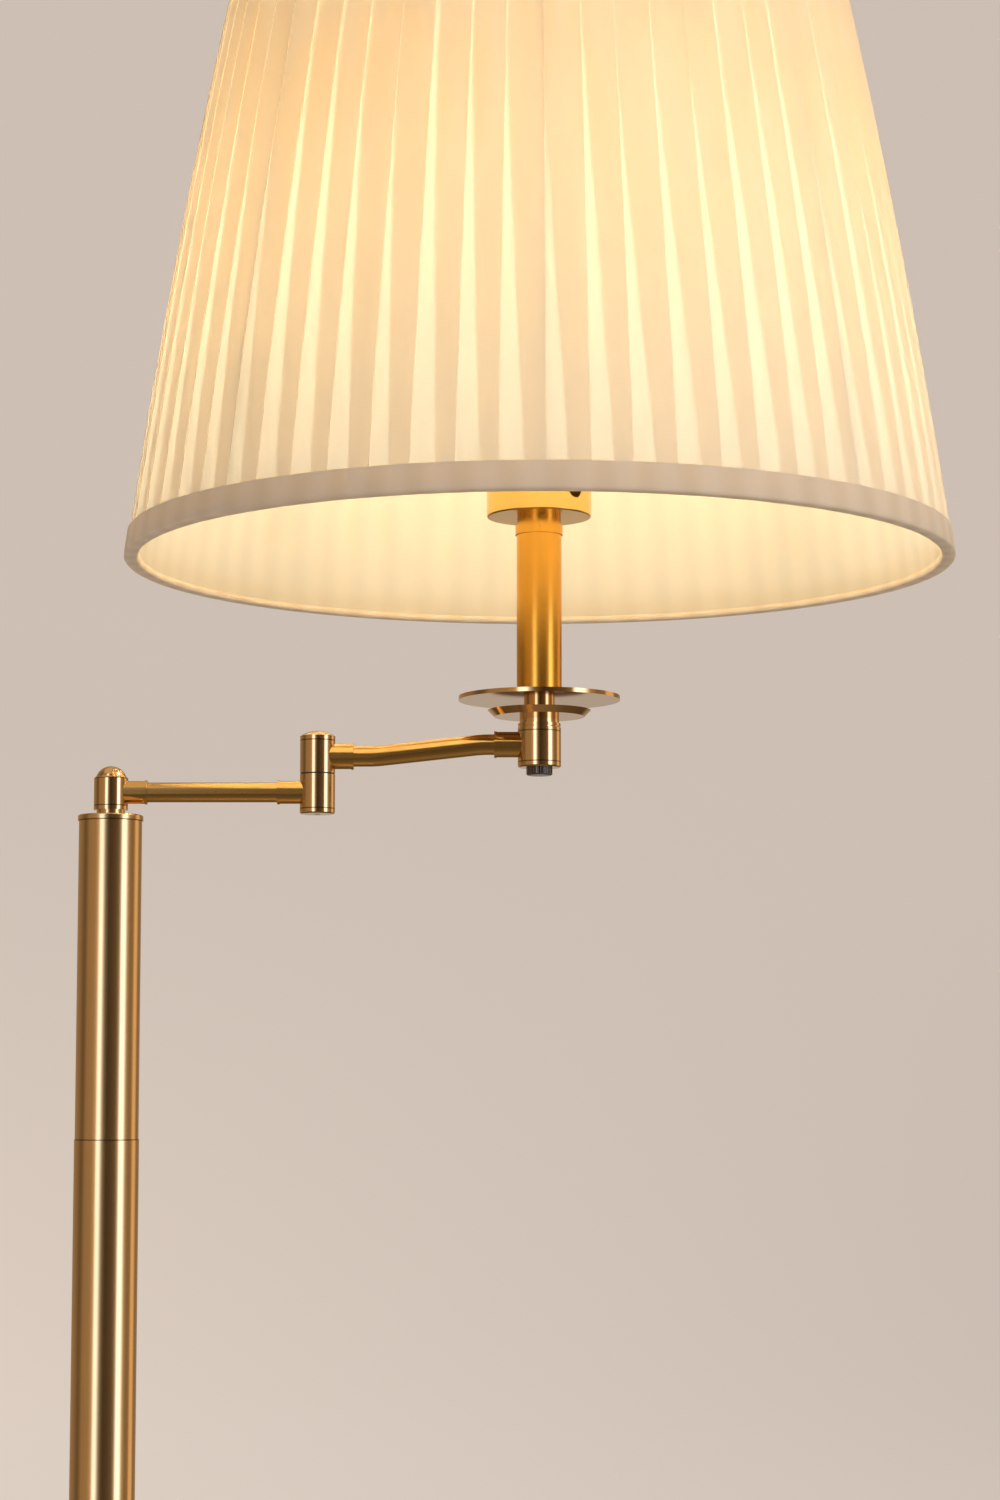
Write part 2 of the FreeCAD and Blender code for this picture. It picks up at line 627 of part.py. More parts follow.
def ferrule(label, x, height, reach, outer, inner, barrel_radius, toward):
    """Sleeve from a barrel's side to its beaded mouth; toward is +1 along +X or -1 along -X."""
    start = x if toward > 0 else "%s - %s" % (x, reach)
    mouth = "%s + %s - bead_width" % (x, reach) if toward > 0 else start
    outside = rod(label + "_outside", outer, reach, start, height)
    bead = rod(label + "_bead", outer + " + bead_rise", "bead_width", mouth, height)
    bore = rod(label + "_bore", inner + " + running_gap", reach, start, height)
    saddle = cylinder(label + "_saddle", barrel_radius, "4 * (%s)" % outer, x,
                      "%s - 2 * (%s)" % (height, outer))
    tools = fuse(label + "_openings", bore, saddle)
    part(label, cut(label, fuse(label + "_body", outside, bead), tools))


def arm_1():
    inset = "clamp_bore + loose_gap"
    tube = level_sleeve("arm1_tube", "arm1_radius", "arm1_radius - arm_wall",
                        "arm1_length - 2 * (%s)" % inset, inset, "arm1_height")
    part("arm1_tube", tube)
    ferrule("arm1_inner_ferrule", "0", "arm1_height", "arm1_inner_reach", "arm1_ferrule", "arm1_radius",
            "swivel_radius", 1)
    ferrule("arm1_outer_ferrule", "arm1_length", "arm1_height", "arm1_outer_reach", "arm1_ferrule",
            "arm1_radius", "elbow_radius", -1)


# ---- elbow --------------------------------------------------------------------------

def elbow():
    lower = barrel("elbow_lower_barrel", "elbow_radius", "elbow_floor", "elbow_lower", "arm1_length",
                   "arm1_radius + running_gap", "arm1_height", 180, False)
    part("elbow_lower_barrel", lower)
    upper = barrel("elbow_upper_barrel", "elbow_radius", "elbow_deck", "elbow_upper", "arm1_length",
                   "arm2_radius + running_gap", "arm2_start", 0, True)
    part("elbow_upper_barrel", upper)
    pivot_pin("elbow_pin", "elbow_floor", "elbow_roof - cap_spigot - loose_gap", "arm1_length",
              [("arm1_height", 180), ("arm2_start", 0)])
    sleeve("elbow_washer", "elbow_radius - loose_gap", "pin_bore", "elbow_washer",
           "arm1_length", "elbow_seam")
    clamp("elbow", "elbow_roof", "arm1_length")
    cap = turned("elbow_bottom_cap", [
        ("elbow_cap_hole", "0"), ("elbow_radius", "0"), ("elbow_radius", "elbow_cap"),
        ("elbow_cap_hole", "elbow_cap"),
    ], "arm1_length", "elbow_floor - elbow_cap")
    soften(cap, "Fillet", "elbow_cap_round", ("elbow_radius", "0"))
    crown = domed("elbow_crown_top", "elbow_radius", "crown_rim", "crown_rise", "arm1_length", "elbow_roof")
    spigot = cylinder("elbow_crown_spigot", "clamp_bore - running_gap", "cap_spigot", "arm1_length",
                      "elbow_roof - cap_spigot")
    part("elbow_crown", fuse("elbow_crown", crown, spigot))


# ---- arm 2 --------------------------------------------------------------------------

def arm_path(sketch, start, end):
    """Level run, bend up, slope, bend back and level run, from x = start to x = end."""
    bend = value("arm2_bend")
    climb = value("arm2_crank")
    level_1 = value("arm1_length + arm2_level")
    level_2 = value("head_x - arm2_level")
    low = value("arm2_start")
    span = level_2 - level_1
    slope = climb / (span - bend * climb / span)
    lean = math.atan(slope)
    rise = bend * (1 - math.cos(lean))
    side = bend * math.sin(lean)
    corners = [
        FreeCAD.Vector(value(start), low, 0), FreeCAD.Vector(level_1, low, 0),
        FreeCAD.Vector(level_1 + side, low + rise, 0),
        FreeCAD.Vector(level_2 - side, low + climb - rise, 0),
        FreeCAD.Vector(level_2, low + climb, 0), FreeCAD.Vector(value(end), low + climb, 0),
    ]
    centre_1 = FreeCAD.Vector(level_1, low + bend, 0)
    centre_2 = FreeCAD.Vector(level_2, low + climb - bend, 0)
    up = FreeCAD.Vector(0, 0, 1)
    quarter = math.pi / 2
    sketch.addGeometry(Part.LineSegment(corners[0], corners[1]), False)
    sketch.addGeometry(Part.ArcOfCircle(Part.Circle(centre_1, up, bend), -quarter, lean - quarter), False)
    sketch.addGeometry(Part.LineSegment(corners[2], corners[3]), False)
    sketch.addGeometry(Part.ArcOfCircle(Part.Circle(centre_2, up, bend), quarter, quarter + lean), False)
    sketch.addGeometry(Part.LineSegment(corners[4], corners[5]), False)
    sketch.addConstraint([
        Sketcher.Constraint("Horizontal", 0), Sketcher.Constraint("Horizontal", 4),
        Sketcher.Constraint("Tangent", 0, 2, 1, 1), Sketcher.Constraint("Tangent", 1, 2, 2, 1),
        Sketcher.Constraint("Tangent", 2, 2, 3, 2), Sketcher.Constraint("Tangent", 3, 1, 4, 1),
        Sketcher.Constraint("Equal", 1, 3),
    ])
    fix_point(sketch, 0, 1, start, "arm2_start", "start")
    fix_point(sketch, 0, 2, "arm1_length + arm2_level", None, "first_bend")
    fix_point(sketch, 4, 1, "head_x - arm2_level", None, "second_bend")
    fix_point(sketch, 4, 2, end, "arm2_end", "end")
    index = sketch.addConstraint(Sketcher.Constraint("Radius", 1, bend))
    sketch.renameConstraint(index, "bend")
    sketch.setExpression("Constraints.bend", cells("arm2_bend"))


def swept_tube(label, start, end, outer, inner):
    """A round bar or tube along arm 2's path."""
    body = doc.addObject("PartDesign::Body", label)
    path = new_sketch(body, label + "_path")
    arm_path(path, start, end)
    section = new_sketch(body, label + "_section", "YZ_Plane")
    section.setExpression("AttachmentOffset.Base.z", cells(start))
    for number, radius in enumerate((outer, inner)):
        if radius is None:
            continue
        centre = FreeCAD.Vector(0, value("arm2_start"), 0)
        circle = Part.Circle(centre, FreeCAD.Vector(0, 0, 1), value(radius))
        sketch_circle = section.addGeometry(circle, False)
        fix_point(section, sketch_circle, 3, "0", "arm2_start", "centre_%d" % number)
        index = section.addConstraint(Sketcher.Constraint("Radius", sketch_circle, value(radius)))
        section.renameConstraint(index, "radius_%d" % number)
        section.setExpression("Constraints.radius_%d" % number, cells(radius))
    pipe = body.newObject("PartDesign::AdditivePipe", label + "_pipe")
    pipe.Profile = section
    pipe.Spine = (path, ["Edge1", "Edge2", "Edge3", "Edge4", "Edge5"])
    part(label, body)


def arm_2():
    swept_tube("arm2_tube", "arm1_length + clamp_bore + loose_gap", "head_x - pin_bore - loose_gap",
               "arm2_radius", "arm2_radius - arm_wall")
    ferrule("arm2_inner_ferrule", "arm1_length", "arm2_start", "arm2_inner_reach", "arm2_ferrule",
            "arm2_radius", "elbow_radius", 1)
    ferrule("arm2_outer_ferrule", "head_x", "arm2_end", "arm2_outer_reach", "arm2_ferrule",
            "arm2_radius", "head_radius", -1)


# ---- head ---------------------------------------------------------------------------

def head_mounting():
    """Barrel at the end of arm 2, its bottom cap, and the threaded pipe that clamps the head."""
    body = barrel("head_barrel", "head_radius", "head_floor", "head_roof - head_floor", "head_x",
                  "arm2_radius + running_gap", "arm2_end", 180, False)
    part("head_barrel", body)
    cap = turned("head_bottom_cap", [
        ("pin_bore", "0"), ("head_radius", "0"), ("head_radius", "head_cap"), ("pin_bore", "head_cap"),
    ], "head_x", "head_floor - head_cap")
    soften(cap, "Fillet", "head_cap_round", ("head_radius", "0"))
    pivot_pin("head_pipe", "knob_base + knob_floor + loose_gap", "holder_floor + holder_foot_height / 2",
              "head_x", [("arm2_end", 180)])


def knurled_nut():
    """Closed round nut under the head, grooved all round for the fingers."""
    body = turned("knurled_nut", [
        ("0", "0"), ("knob_radius", "0"), ("knob_radius", "knob_height"), ("pin_bore", "knob_height"),
        ("pin_bore", "knob_floor"), ("0", "knob_floor"),
    ], "head_x", "knob_base")
    soften(body, "Chamfer", "knob_floor / 2", ("knob_radius", "0"))
    doc.recompute()
    groove = new_sketch(body, "knurl_section", "XY_Plane")
    circle = Part.Circle(FreeCAD.Vector(value("knob_radius"), 0, 0), FreeCAD.Vector(0, 0, 1),
                         value("knurl_radius"))
    groove.addGeometry(circle, False)
    fix_point(groove, 0, 3, "knob_radius", "0", "groove")
    index = groove.addConstraint(Sketcher.Constraint("Radius", 0, value("knurl_radius")))
    groove.renameConstraint(index, "groove_radius")
    groove.setExpression("Constraints.groove_radius", cells("knurl_radius"))
    pocket = body.newObject("PartDesign::Pocket", "knurl_groove")
    pocket.Profile = groove
    pocket.Reversed = True
    bind(pocket, Length="knob_height")
    doc.recompute()
    pattern = body.newObject("PartDesign::PolarPattern", "knurl")
    pattern.Originals = [pocket]
    pattern.Axis = (plane_of(body, "Z_Axis"), [""])
    pattern.Angle = 360
    bind(pattern, Occurrences="knurl_count")
    body.Tip = pattern


def head_trim():
    """Beaded collar, small dish, spacer and drip pan, stacked on the head pipe."""
    bead_top = "collar_groove + collar_bead"
    turned("head_collar", [
        ("pin_bore", "0"), ("collar_body_radius", "0"), ("collar_body_radius", "collar_groove"),
        ("collar_bead_radius", "collar_groove"), ("collar_bead_radius", bead_top),
        ("collar_body_radius", bead_top), ("collar_body_radius", "collar_total"),
        ("pin_bore", "collar_total"),
    ], "head_x", "head_roof")
    turned("small_dish", [
        ("pin_bore", "0"), ("dish_bottom", "0"), ("dish_top", "dish_height"),
        ("dish_top - dish_wall", "dish_height"), ("dish_bottom - dish_wall", "dish_height - dish_hollow"),
        ("pin_bore", "dish_height - dish_hollow"),
    ], "head_x", "dish_floor")
    sleeve("neck_spacer", "spacer_radius", "pin_bore", "pan_floor - spacer_floor", "head_x", "spacer_floor")
    turned("drip_pan", [
        ("pin_bore", "0"), ("pan_radius", "0"), ("pan_radius", "pan_height"),
        ("pan_radius - pan_rim", "pan_height"),
        ("pan_radius - pan_rim - pan_hollow", "pan_height - pan_hollow"),
        ("pin_bore", "pan_height - pan_hollow"),
    ], "head_x", "pan_floor")


def candle():
    sleeve("candle_tube", "candle_radius", "candle_radius - candle_wall", "candle_height",
           "head_x", "candle_floor")
    spigot = "candle_radius - candle_wall - running_gap"
    shoulder = "ring_spigot + ring_height"
    turned("candle_ring", [
        ("pin_bore", "0"), (spigot, "0"), (spigot, "ring_spigot"), ("ring_radius", "ring_spigot"),
        ("ring_radius", shoulder), ("ring_neck_radius", shoulder),
        ("ring_neck_radius", shoulder + " + ring_neck_height"),
        ("pin_bore", shoulder + " + ring_neck_height"),
    ], "head_x", "candle_roof - ring_spigot")


def lampholder_cup():
    """Open-topped cup round the lampholder, with a round vent hole in its side."""
    shell = turned("cup_shell", [
        ("pin_bore", "0"), ("cup_radius", "0"), ("cup_radius", "cup_height"),
        ("cup_radius - cup_wall", "cup_height"), ("cup_radius - cup_wall", "cup_wall"),
        ("pin_bore", "cup_wall"),
    ], "head_x", "cup_floor")
    parts.remove(shell)
    soften(shell, "Fillet", "cup_round", ("cup_radius", "0"))
    hole = rod("cup_side_hole", "cup_hole", "2 * cup_radius", "head_x", "cup_floor + cup_hole_height",
               value("cup_hole_turn"))
    part("lampholder_cup", cut("lampholder_cup", shell, hole))


def lampholder():
    """Lampholder with a narrow foot, a shoulder for the shade fitter and a threaded skirt."""
    shoulder = "fitter_floor - holder_floor"
    turned("lampholder_body", [
        ("pin_bore", "0"), ("holder_foot", "0"), ("holder_foot", "holder_foot_height"),
        ("holder_shoulder", "holder_foot_height + 4"), ("holder_shoulder", shoulder),
        ("holder_radius", shoulder), ("holder_radius", "holder_height"),
        ("holder_bore", "holder_height"), ("holder_bore", "holder_height - holder_depth"),
        ("pin_bore", "holder_height - holder_depth"),
    ], "head_x", "holder_floor")
    sleeve("shade_retaining_ring", "shade_ring_radius", "holder_radius + running_gap", "shade_ring_height",
           "head_x", "fitter_floor + fitter_height")


def bulb():
    """Screw cap and a hollow pear-shaped glass."""
    part("bulb_cap", cylinder("bulb_cap", "bulb_cap_radius", "bulb_cap_height", "head_x", "bulb_floor"))
    body = doc.addObject("PartDesign::Body", "bulb_glass")
    sketch = new_sketch(body, "bulb_glass_section")
    outer = value("bulb_radius")
    inner = value("bulb_radius - bulb_wall")
    centre = FreeCAD.Vector(0, value("bulb_height - bulb_radius"), 0)
    shoulder = math.radians(30)
    up = FreeCAD.Vector(0, 0, 1)
    for radius in (outer, inner):
        sketch.addGeometry(Part.ArcOfCircle(Part.Circle(centre, up, radius), -shoulder, math.pi / 2), False)
    neck = value("bulb_neck")
    wall = value("bulb_wall")
    out_x = outer * math.cos(shoulder)
    out_y = centre.y - outer * math.sin(shoulder)
    in_x = inner * math.cos(shoulder)
    in_y = centre.y - inner * math.sin(shoulder)
    corners = [
        (FreeCAD.Vector(neck, 0, 0), FreeCAD.Vector(out_x, out_y, 0)),
        (FreeCAD.Vector(neck - wall, 0, 0), FreeCAD.Vector(in_x, in_y, 0)),
        (FreeCAD.Vector(neck, 0, 0), FreeCAD.Vector(neck - wall, 0, 0)),
        (FreeCAD.Vector(0, centre.y + outer, 0), FreeCAD.Vector(0, centre.y + inner, 0)),
    ]
    for first, second in corners:
        sketch.addGeometry(Part.LineSegment(first, second), False)
    sketch.addConstraint([
        Sketcher.Constraint("Tangent", 2, 2, 0, 1), Sketcher.Constraint("Tangent", 3, 2, 1, 1),
        Sketcher.Constraint("Coincident", 2, 1, 4, 1), Sketcher.Constraint("Coincident", 3, 1, 4, 2),
        Sketcher.Constraint("Coincident", 0, 2, 5, 1), Sketcher.Constraint("Coincident", 1, 2, 5, 2),
        Sketcher.Constraint("Coincident", 0, 3, 1, 3), Sketcher.Constraint("PointOnObject", 0, 3, -2),
        Sketcher.Constraint("PointOnObject", 5, 1, -2), Sketcher.Constraint("PointOnObject", 5, 2, -2),
    ])
    fix_point(sketch, 0, 3, None, "bulb_height - bulb_radius", "ball")
    fix_point(sketch, 2, 1, "bulb_neck", "0", "outer_neck")
    fix_point(sketch, 3, 1, "bulb_neck - bulb_wall", "0", "inner_neck")
    for number, expression in ((0, "bulb_radius"), (1, "bulb_radius - bulb_wall")):
        index = sketch.addConstraint(Sketcher.Constraint("Radius", number, value(expression)))
        sketch.renameConstraint(index, "ball_%d" % number)
        sketch.setExpression("Constraints.ball_%d" % number, cells(expression))
    turn = body.newObject("PartDesign::Revolution", "bulb_glass_turning")
    turn.Profile = sketch
    turn.ReferenceAxis = (sketch, ["V_Axis"])
    turn.Angle = 360
    place(body, "head_x", "glass_floor")
    part("bulb_glass", body)


# ---- shade --------------------------------------------------------------------------

def side_radius(inset, height):
    """Radius of the shade's bowed side at a height above its lower edge, moved in by inset."""
    return "arc_x + sqrt((shade_arc - (%s))^2 - (%s - arc_z)^2)" % (inset, height)


def shade_wall(label, inset, depth, low, high):
    """A turned band that follows the bowed side, depth thick, between two heights."""
    body = doc.addObject("PartDesign::Body", label)
    sketch = new_sketch(body, label + "_section")
    centre = FreeCAD.Vector(value("arc_x"), value("arc_z"), 0)
    up = FreeCAD.Vector(0, 0, 1)
    radii = (value("shade_arc - (%s)" % inset), value("shade_arc - (%s) - (%s)" % (inset, depth)))
    ends = []
    for radius in radii:
        angles = [math.asin((value(height) - centre.y) / radius) for height in (low, high)]
        sketch.addGeometry(Part.ArcOfCircle(Part.Circle(centre, up, radius), *angles), False)
        ends.append([centre + FreeCAD.Vector(radius * math.cos(a), radius * math.sin(a), 0) for a in angles])
    for end in (0, 1):
        sketch.addGeometry(Part.LineSegment(ends[0][end], ends[1][end]), False)
        sketch.addConstraint(Sketcher.Constraint("Coincident", 0, end + 1, 2 + end, 1))
        sketch.addConstraint(Sketcher.Constraint("Coincident", 1, end + 1, 2 + end, 2))
    sketch.addConstraint(Sketcher.Constraint("Coincident", 0, 3, 1, 3))
    fix_point(sketch, 0, 3, "arc_x", "arc_z", "bow_centre")
    outer_arc = "shade_arc - (%s)" % inset
    for number, expression in enumerate((outer_arc, outer_arc + " - (%s)" % depth)):
        index = sketch.addConstraint(Sketcher.Constraint("Radius", number, radii[number]))
        sketch.renameConstraint(index, "bow_%d" % number)
        sketch.setExpression("Constraints.bow_%d" % number, cells(expression))
        fix_point(sketch, number, 1, None, low, "low_%d" % number)
        fix_point(sketch, number, 2, None, high, "high_%d" % number)
    turn = body.newObject("PartDesign::Revolution", label + "_turning")
    turn.Profile = sketch
    turn.ReferenceAxis = (sketch, ["V_Axis"])
    turn.Angle = 360
    return place(body, "head_x", "shade_floor")


def shade_fabric():
    """Pleated cover outside, lining inside, and a tape bound round each edge."""
    part("shade_cover", shade_wall("shade_cover", "0", "cover_depth", "0", "shade_height"))
    part("shade_lining", shade_wall("shade_lining", "lining_inset", "lining_depth", "0", "shade_height"))
    inner_face = "lining_inset + lining_depth + running_gap"
    for edge, low, high, fold_low, fold_high, hem_low in (
            ("bottom", "0 - tape_depth", "tape_height - tape_depth", "0 - tape_depth", "tape_fold",
             "0 - tape_depth"),
            ("top", "shade_height + tape_depth - tape_height", "shade_height + tape_depth",
             "shade_height - tape_fold", "shade_height + tape_depth", "shade_height")):
        name = "shade_%s_binding" % edge
        face = shade_wall(name + "_face", "0 - tape_depth - running_gap", "tape_depth", low, high)
        fold = shade_wall(name + "_fold", inner_face, "tape_depth", fold_low, fold_high)
        hem = shade_wall(name + "_hem", "0 - tape_depth - running_gap",
                         inner_face + " + 2 * tape_depth + running_gap", hem_low, hem_low + " + tape_depth")
        part(name, fuse(name, face, fold, hem))


def shade_frame():
    """Top and bottom rings joined by bowed upright wires, all between cover and lining."""
    wire = value("frame_wire")
    height = value("shade_height")
    inset = "frame_inset"
    margin = value("frame_wire + running_gap")
    pieces = []
    for level in (margin, height - margin):
        pieces.append(Part.makeTorus(value(side_radius(inset, str(level))), wire,
                                     FreeCAD.Vector(0, 0, level), FreeCAD.Vector(0, 0, 1)))
    spots = [FreeCAD.Vector(value(side_radius(inset, str(level))), 0, level)
             for level in (margin, height / 2, height - margin)]
    path = Part.Wire([Part.Arc(*spots).toShape()])
    heading = path.Edges[0].tangentAt(path.Edges[0].FirstParameter)
    section = Part.Wire([Part.makeCircle(value("rib_wire"), spots[0], heading)])
    upright = Part.Solid(path.makePipeShell([section], True, False))
    count = int(value("rib_count"))
    for number in range(count):
        rib = upright.copy()
        rib.rotate(FreeCAD.Vector(), FreeCAD.Vector(0, 0, 1), 360.0 * number / count)
        pieces.append(rib)
    item = doc.addObject("Part::Feature", "shade_frame")
    item.Shape = pieces[0].fuse(pieces[1:])
    item.Placement.Base = FreeCAD.Vector(value("head_x"), 0, value("shade_floor"))
    part("shade_frame", item)


def shade_fitter():
    """Ring that sits on the lampholder, and level spokes out to the shade's lining."""
    sleeve("shade_fitter", "fitter_radius", "holder_radius + running_gap", "fitter_height",
           "head_x", "fitter_floor")
    count = int(value("spoke_count"))
    height = "fitter_floor + fitter_height - shade_floor"
    reach = side_radius("lining_inset + lining_depth + 2 * loose_gap", height)
    spokes = []
    ring = cylinder("fitter_clear", "fitter_radius", "4 * spoke_radius", "head_x",
                    "fitter_floor + fitter_height / 2 - 2 * spoke_radius")
    for number in range(count):
        turn = 360.0 * (number + 0.5) / count
        spoke = rod("spoke_%d" % number, "spoke_radius", reach, "head_x",
                    "fitter_floor + fitter_height / 2", turn)
        spokes.append(spoke)
    part("shade_spokes", cut("shade_spokes", fuse("spoke_set", *spokes), ring))


# ---- wiring -------------------------------------------------------------------------

def wiring():
    """Two-core wire, in one run for each stretch between the pins' windows."""
    part("column_wire", cylinder("column_wire", "wire_radius",
                                 "arm1_height - window_radius - pad_height - recess_depth",
                                 z="pad_height + recess_depth"))
    start = "pipe_radius + wire_gap"
    length = "arm1_length - 2 * (%s)" % start
    part("arm1_wire", rod("arm1_wire", "wire_radius", length, start, "arm1_height"))
    part("elbow_wire", cylinder("elbow_wire", "wire_radius", "arm2_start - arm1_height", "arm1_length",
                                "arm1_height"))
    swept_tube("arm2_wire", "arm1_length + " + start, "head_x - (%s)" % start, "wire_radius", None)
    part("head_wire", cylinder("head_wire", "wire_radius", "holder_floor - arm2_end", "head_x", "arm2_end"))


# ---- the lamp -----------------------------------------------------------------------

for build in (base_pad, base_weight, base_cover, base_collar, base_washer, base_nut, cord_gland,
              lamp_pipe, column_tubes, column_coupler, column_cap, column_swivel, arm_1, elbow, arm_2,
              head_mounting, knurled_nut, head_trim, candle, lampholder_cup, lampholder, bulb,
              shade_fabric, shade_frame, shade_fitter, wiring):
    build()
doc.recompute()

for item in doc.Objects:
    if "Invalid" in item.State or "Error" in item.State:
        raise RuntimeError("%s failed: %s" % (item.Label, item.State))
labels = [item.Label for item in parts]
if len(set(labels)) != len(labels):
    raise RuntimeError("two sub-parts share a name")
for item in parts:
    if item.Shape.isNull() or not item.Shape.isValid() or not item.Shape.Solids:
        raise RuntimeError("%s has no valid solid" % item.Label)

os.makedirs("parts", exist_ok=True)
for item in parts:
    item.Shape.exportStep(os.path.join("parts", item.Label + ".step"))
    print("%-26s %2d solid(s) %12.1f mm3" % (item.Label, len(item.Shape.Solids), item.Shape.Volume))
print("sub-parts:", len(parts))
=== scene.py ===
import json
import math
import random

import bpy
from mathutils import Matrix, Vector


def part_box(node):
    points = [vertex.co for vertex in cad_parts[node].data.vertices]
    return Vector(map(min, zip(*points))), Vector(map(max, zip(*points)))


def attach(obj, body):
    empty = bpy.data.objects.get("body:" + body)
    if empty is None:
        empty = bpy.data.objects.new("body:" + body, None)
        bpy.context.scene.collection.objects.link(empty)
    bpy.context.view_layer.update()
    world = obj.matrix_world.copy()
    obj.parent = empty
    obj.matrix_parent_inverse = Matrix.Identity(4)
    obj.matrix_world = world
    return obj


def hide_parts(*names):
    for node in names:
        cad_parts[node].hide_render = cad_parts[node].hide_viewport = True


# Swing-arm floor lamp, lit. The frame brings the metal and plastic parts; this script makes the
# pleated cover, its lining, the two bindings and the felt pad, the materials, and the studio.
# Metres throughout. Heights inside the shade are measured up from its lower edge.

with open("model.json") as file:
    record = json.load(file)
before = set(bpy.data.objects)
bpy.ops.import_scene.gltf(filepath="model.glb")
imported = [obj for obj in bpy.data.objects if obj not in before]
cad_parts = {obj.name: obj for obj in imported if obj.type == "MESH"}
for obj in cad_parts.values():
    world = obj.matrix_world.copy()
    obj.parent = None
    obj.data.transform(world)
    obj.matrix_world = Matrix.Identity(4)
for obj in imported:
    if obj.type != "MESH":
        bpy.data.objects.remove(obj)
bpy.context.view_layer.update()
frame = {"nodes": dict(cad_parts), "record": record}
nodes = frame["nodes"]

MM = 0.001
chance = random.Random(11)


def ring_radius(node, top):
    """Outside radius of a round node at its lowest or highest edge."""
    low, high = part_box(node)
    level = high.z if top else low.z
    middle = (low + high) / 2
    points = [v.co for v in nodes[node].data.vertices if abs(v.co.z - level) < 0.1 * MM]
    return max(math.hypot(p.x - middle.x, p.y - middle.y) for p in points)


cover_low, cover_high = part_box("shade_cover")
lining_low, lining_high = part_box("shade_lining")
pad_low, pad_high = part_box("base_pad")

SHADE_AXIS = Vector(((cover_low.x + cover_high.x) / 2, (cover_low.y + cover_high.y) / 2, 0))
SHADE_FLOOR = cover_low.z
SHADE_HEIGHT = cover_high.z - cover_low.z
BOTTOM_RADIUS = ring_radius("shade_cover", top=False)
TOP_RADIUS = ring_radius("shade_cover", top=True)
LINING_RADIUS = ring_radius("shade_lining", top=False)
SIDE_BULGE = 3.3 * MM           # how far the side bows out from a straight cone
LINING_INSET = BOTTOM_RADIUS - LINING_RADIUS

PLEATS = 64
PLEAT_STEPS_UP = 72
FOOT_OVERLAP = 0.43             # share of the pitch that lies three layers deep at the foot
OVERLAP_GAIN = 0.54             # what that share gains over OVERLAP_RISE
OVERLAP_RISE = 0.21
FULL_OVERLAP = 0.97


# ---- mesh helpers -------------------------------------------------------------------

def add_piece(name, verts, faces, material_of_face=None):
    mesh = bpy.data.meshes.new(name)
    mesh.from_pydata([tuple(v) for v in verts], [], faces)
    mesh.polygons.foreach_set("use_smooth", [True] * len(faces))
    if material_of_face:
        mesh.polygons.foreach_set("material_index", material_of_face)
    mesh.update()
    piece = bpy.data.objects.new(name, mesh)
    bpy.context.scene.collection.objects.link(piece)
    return piece


def ring_faces(rows, closed_section=False):
    """Points and quads through rings of points. closed_section joins the last ring to the first."""
    count = len(rows[0])
    points = [point for row in rows for point in row]
    bands = len(rows) if closed_section else len(rows) - 1
    faces = []
    for r in range(bands):
        ring = r * count
        above = (r + 1) % len(rows) * count
        for c in range(count):
            beside = (c + 1) % count
            faces.append((ring + c, ring + beside, above + beside, above + c))
    return points, faces


def ring_grid(name, rows, closed_section=False, face_material=None):
    """A quad mesh through rings of points. face_material gives a face's material by its column."""
    points, faces = ring_faces(rows, closed_section)
    kinds = None
    if face_material:
        count = len(rows[0])
        kinds = [face_material(face % count) for face in range(len(faces))]
    return add_piece(name, points, faces, kinds)


def polar(radius, angle, height):
    """A point round the shade's axis, height above the shade's lower edge."""
    spoke = Vector((radius * math.cos(angle), radius * math.sin(angle), SHADE_FLOOR + height))
    return SHADE_AXIS + spoke


def side_radius(height):
    """Outside radius of the shade's bowed side."""
    share = height / SHADE_HEIGHT
    straight = BOTTOM_RADIUS + (TOP_RADIUS - BOTTOM_RADIUS) * share
    return straight + SIDE_BULGE * 4 * share * (1 - share)


# ---- shade --------------------------------------------------------------------------

def pleat_overlap(height):
    """Share of the pitch that lies three layers deep: pleats open towards the lower edge."""
    return min(FULL_OVERLAP, FOOT_OVERLAP + OVERLAP_GAIN * height / OVERLAP_RISE)


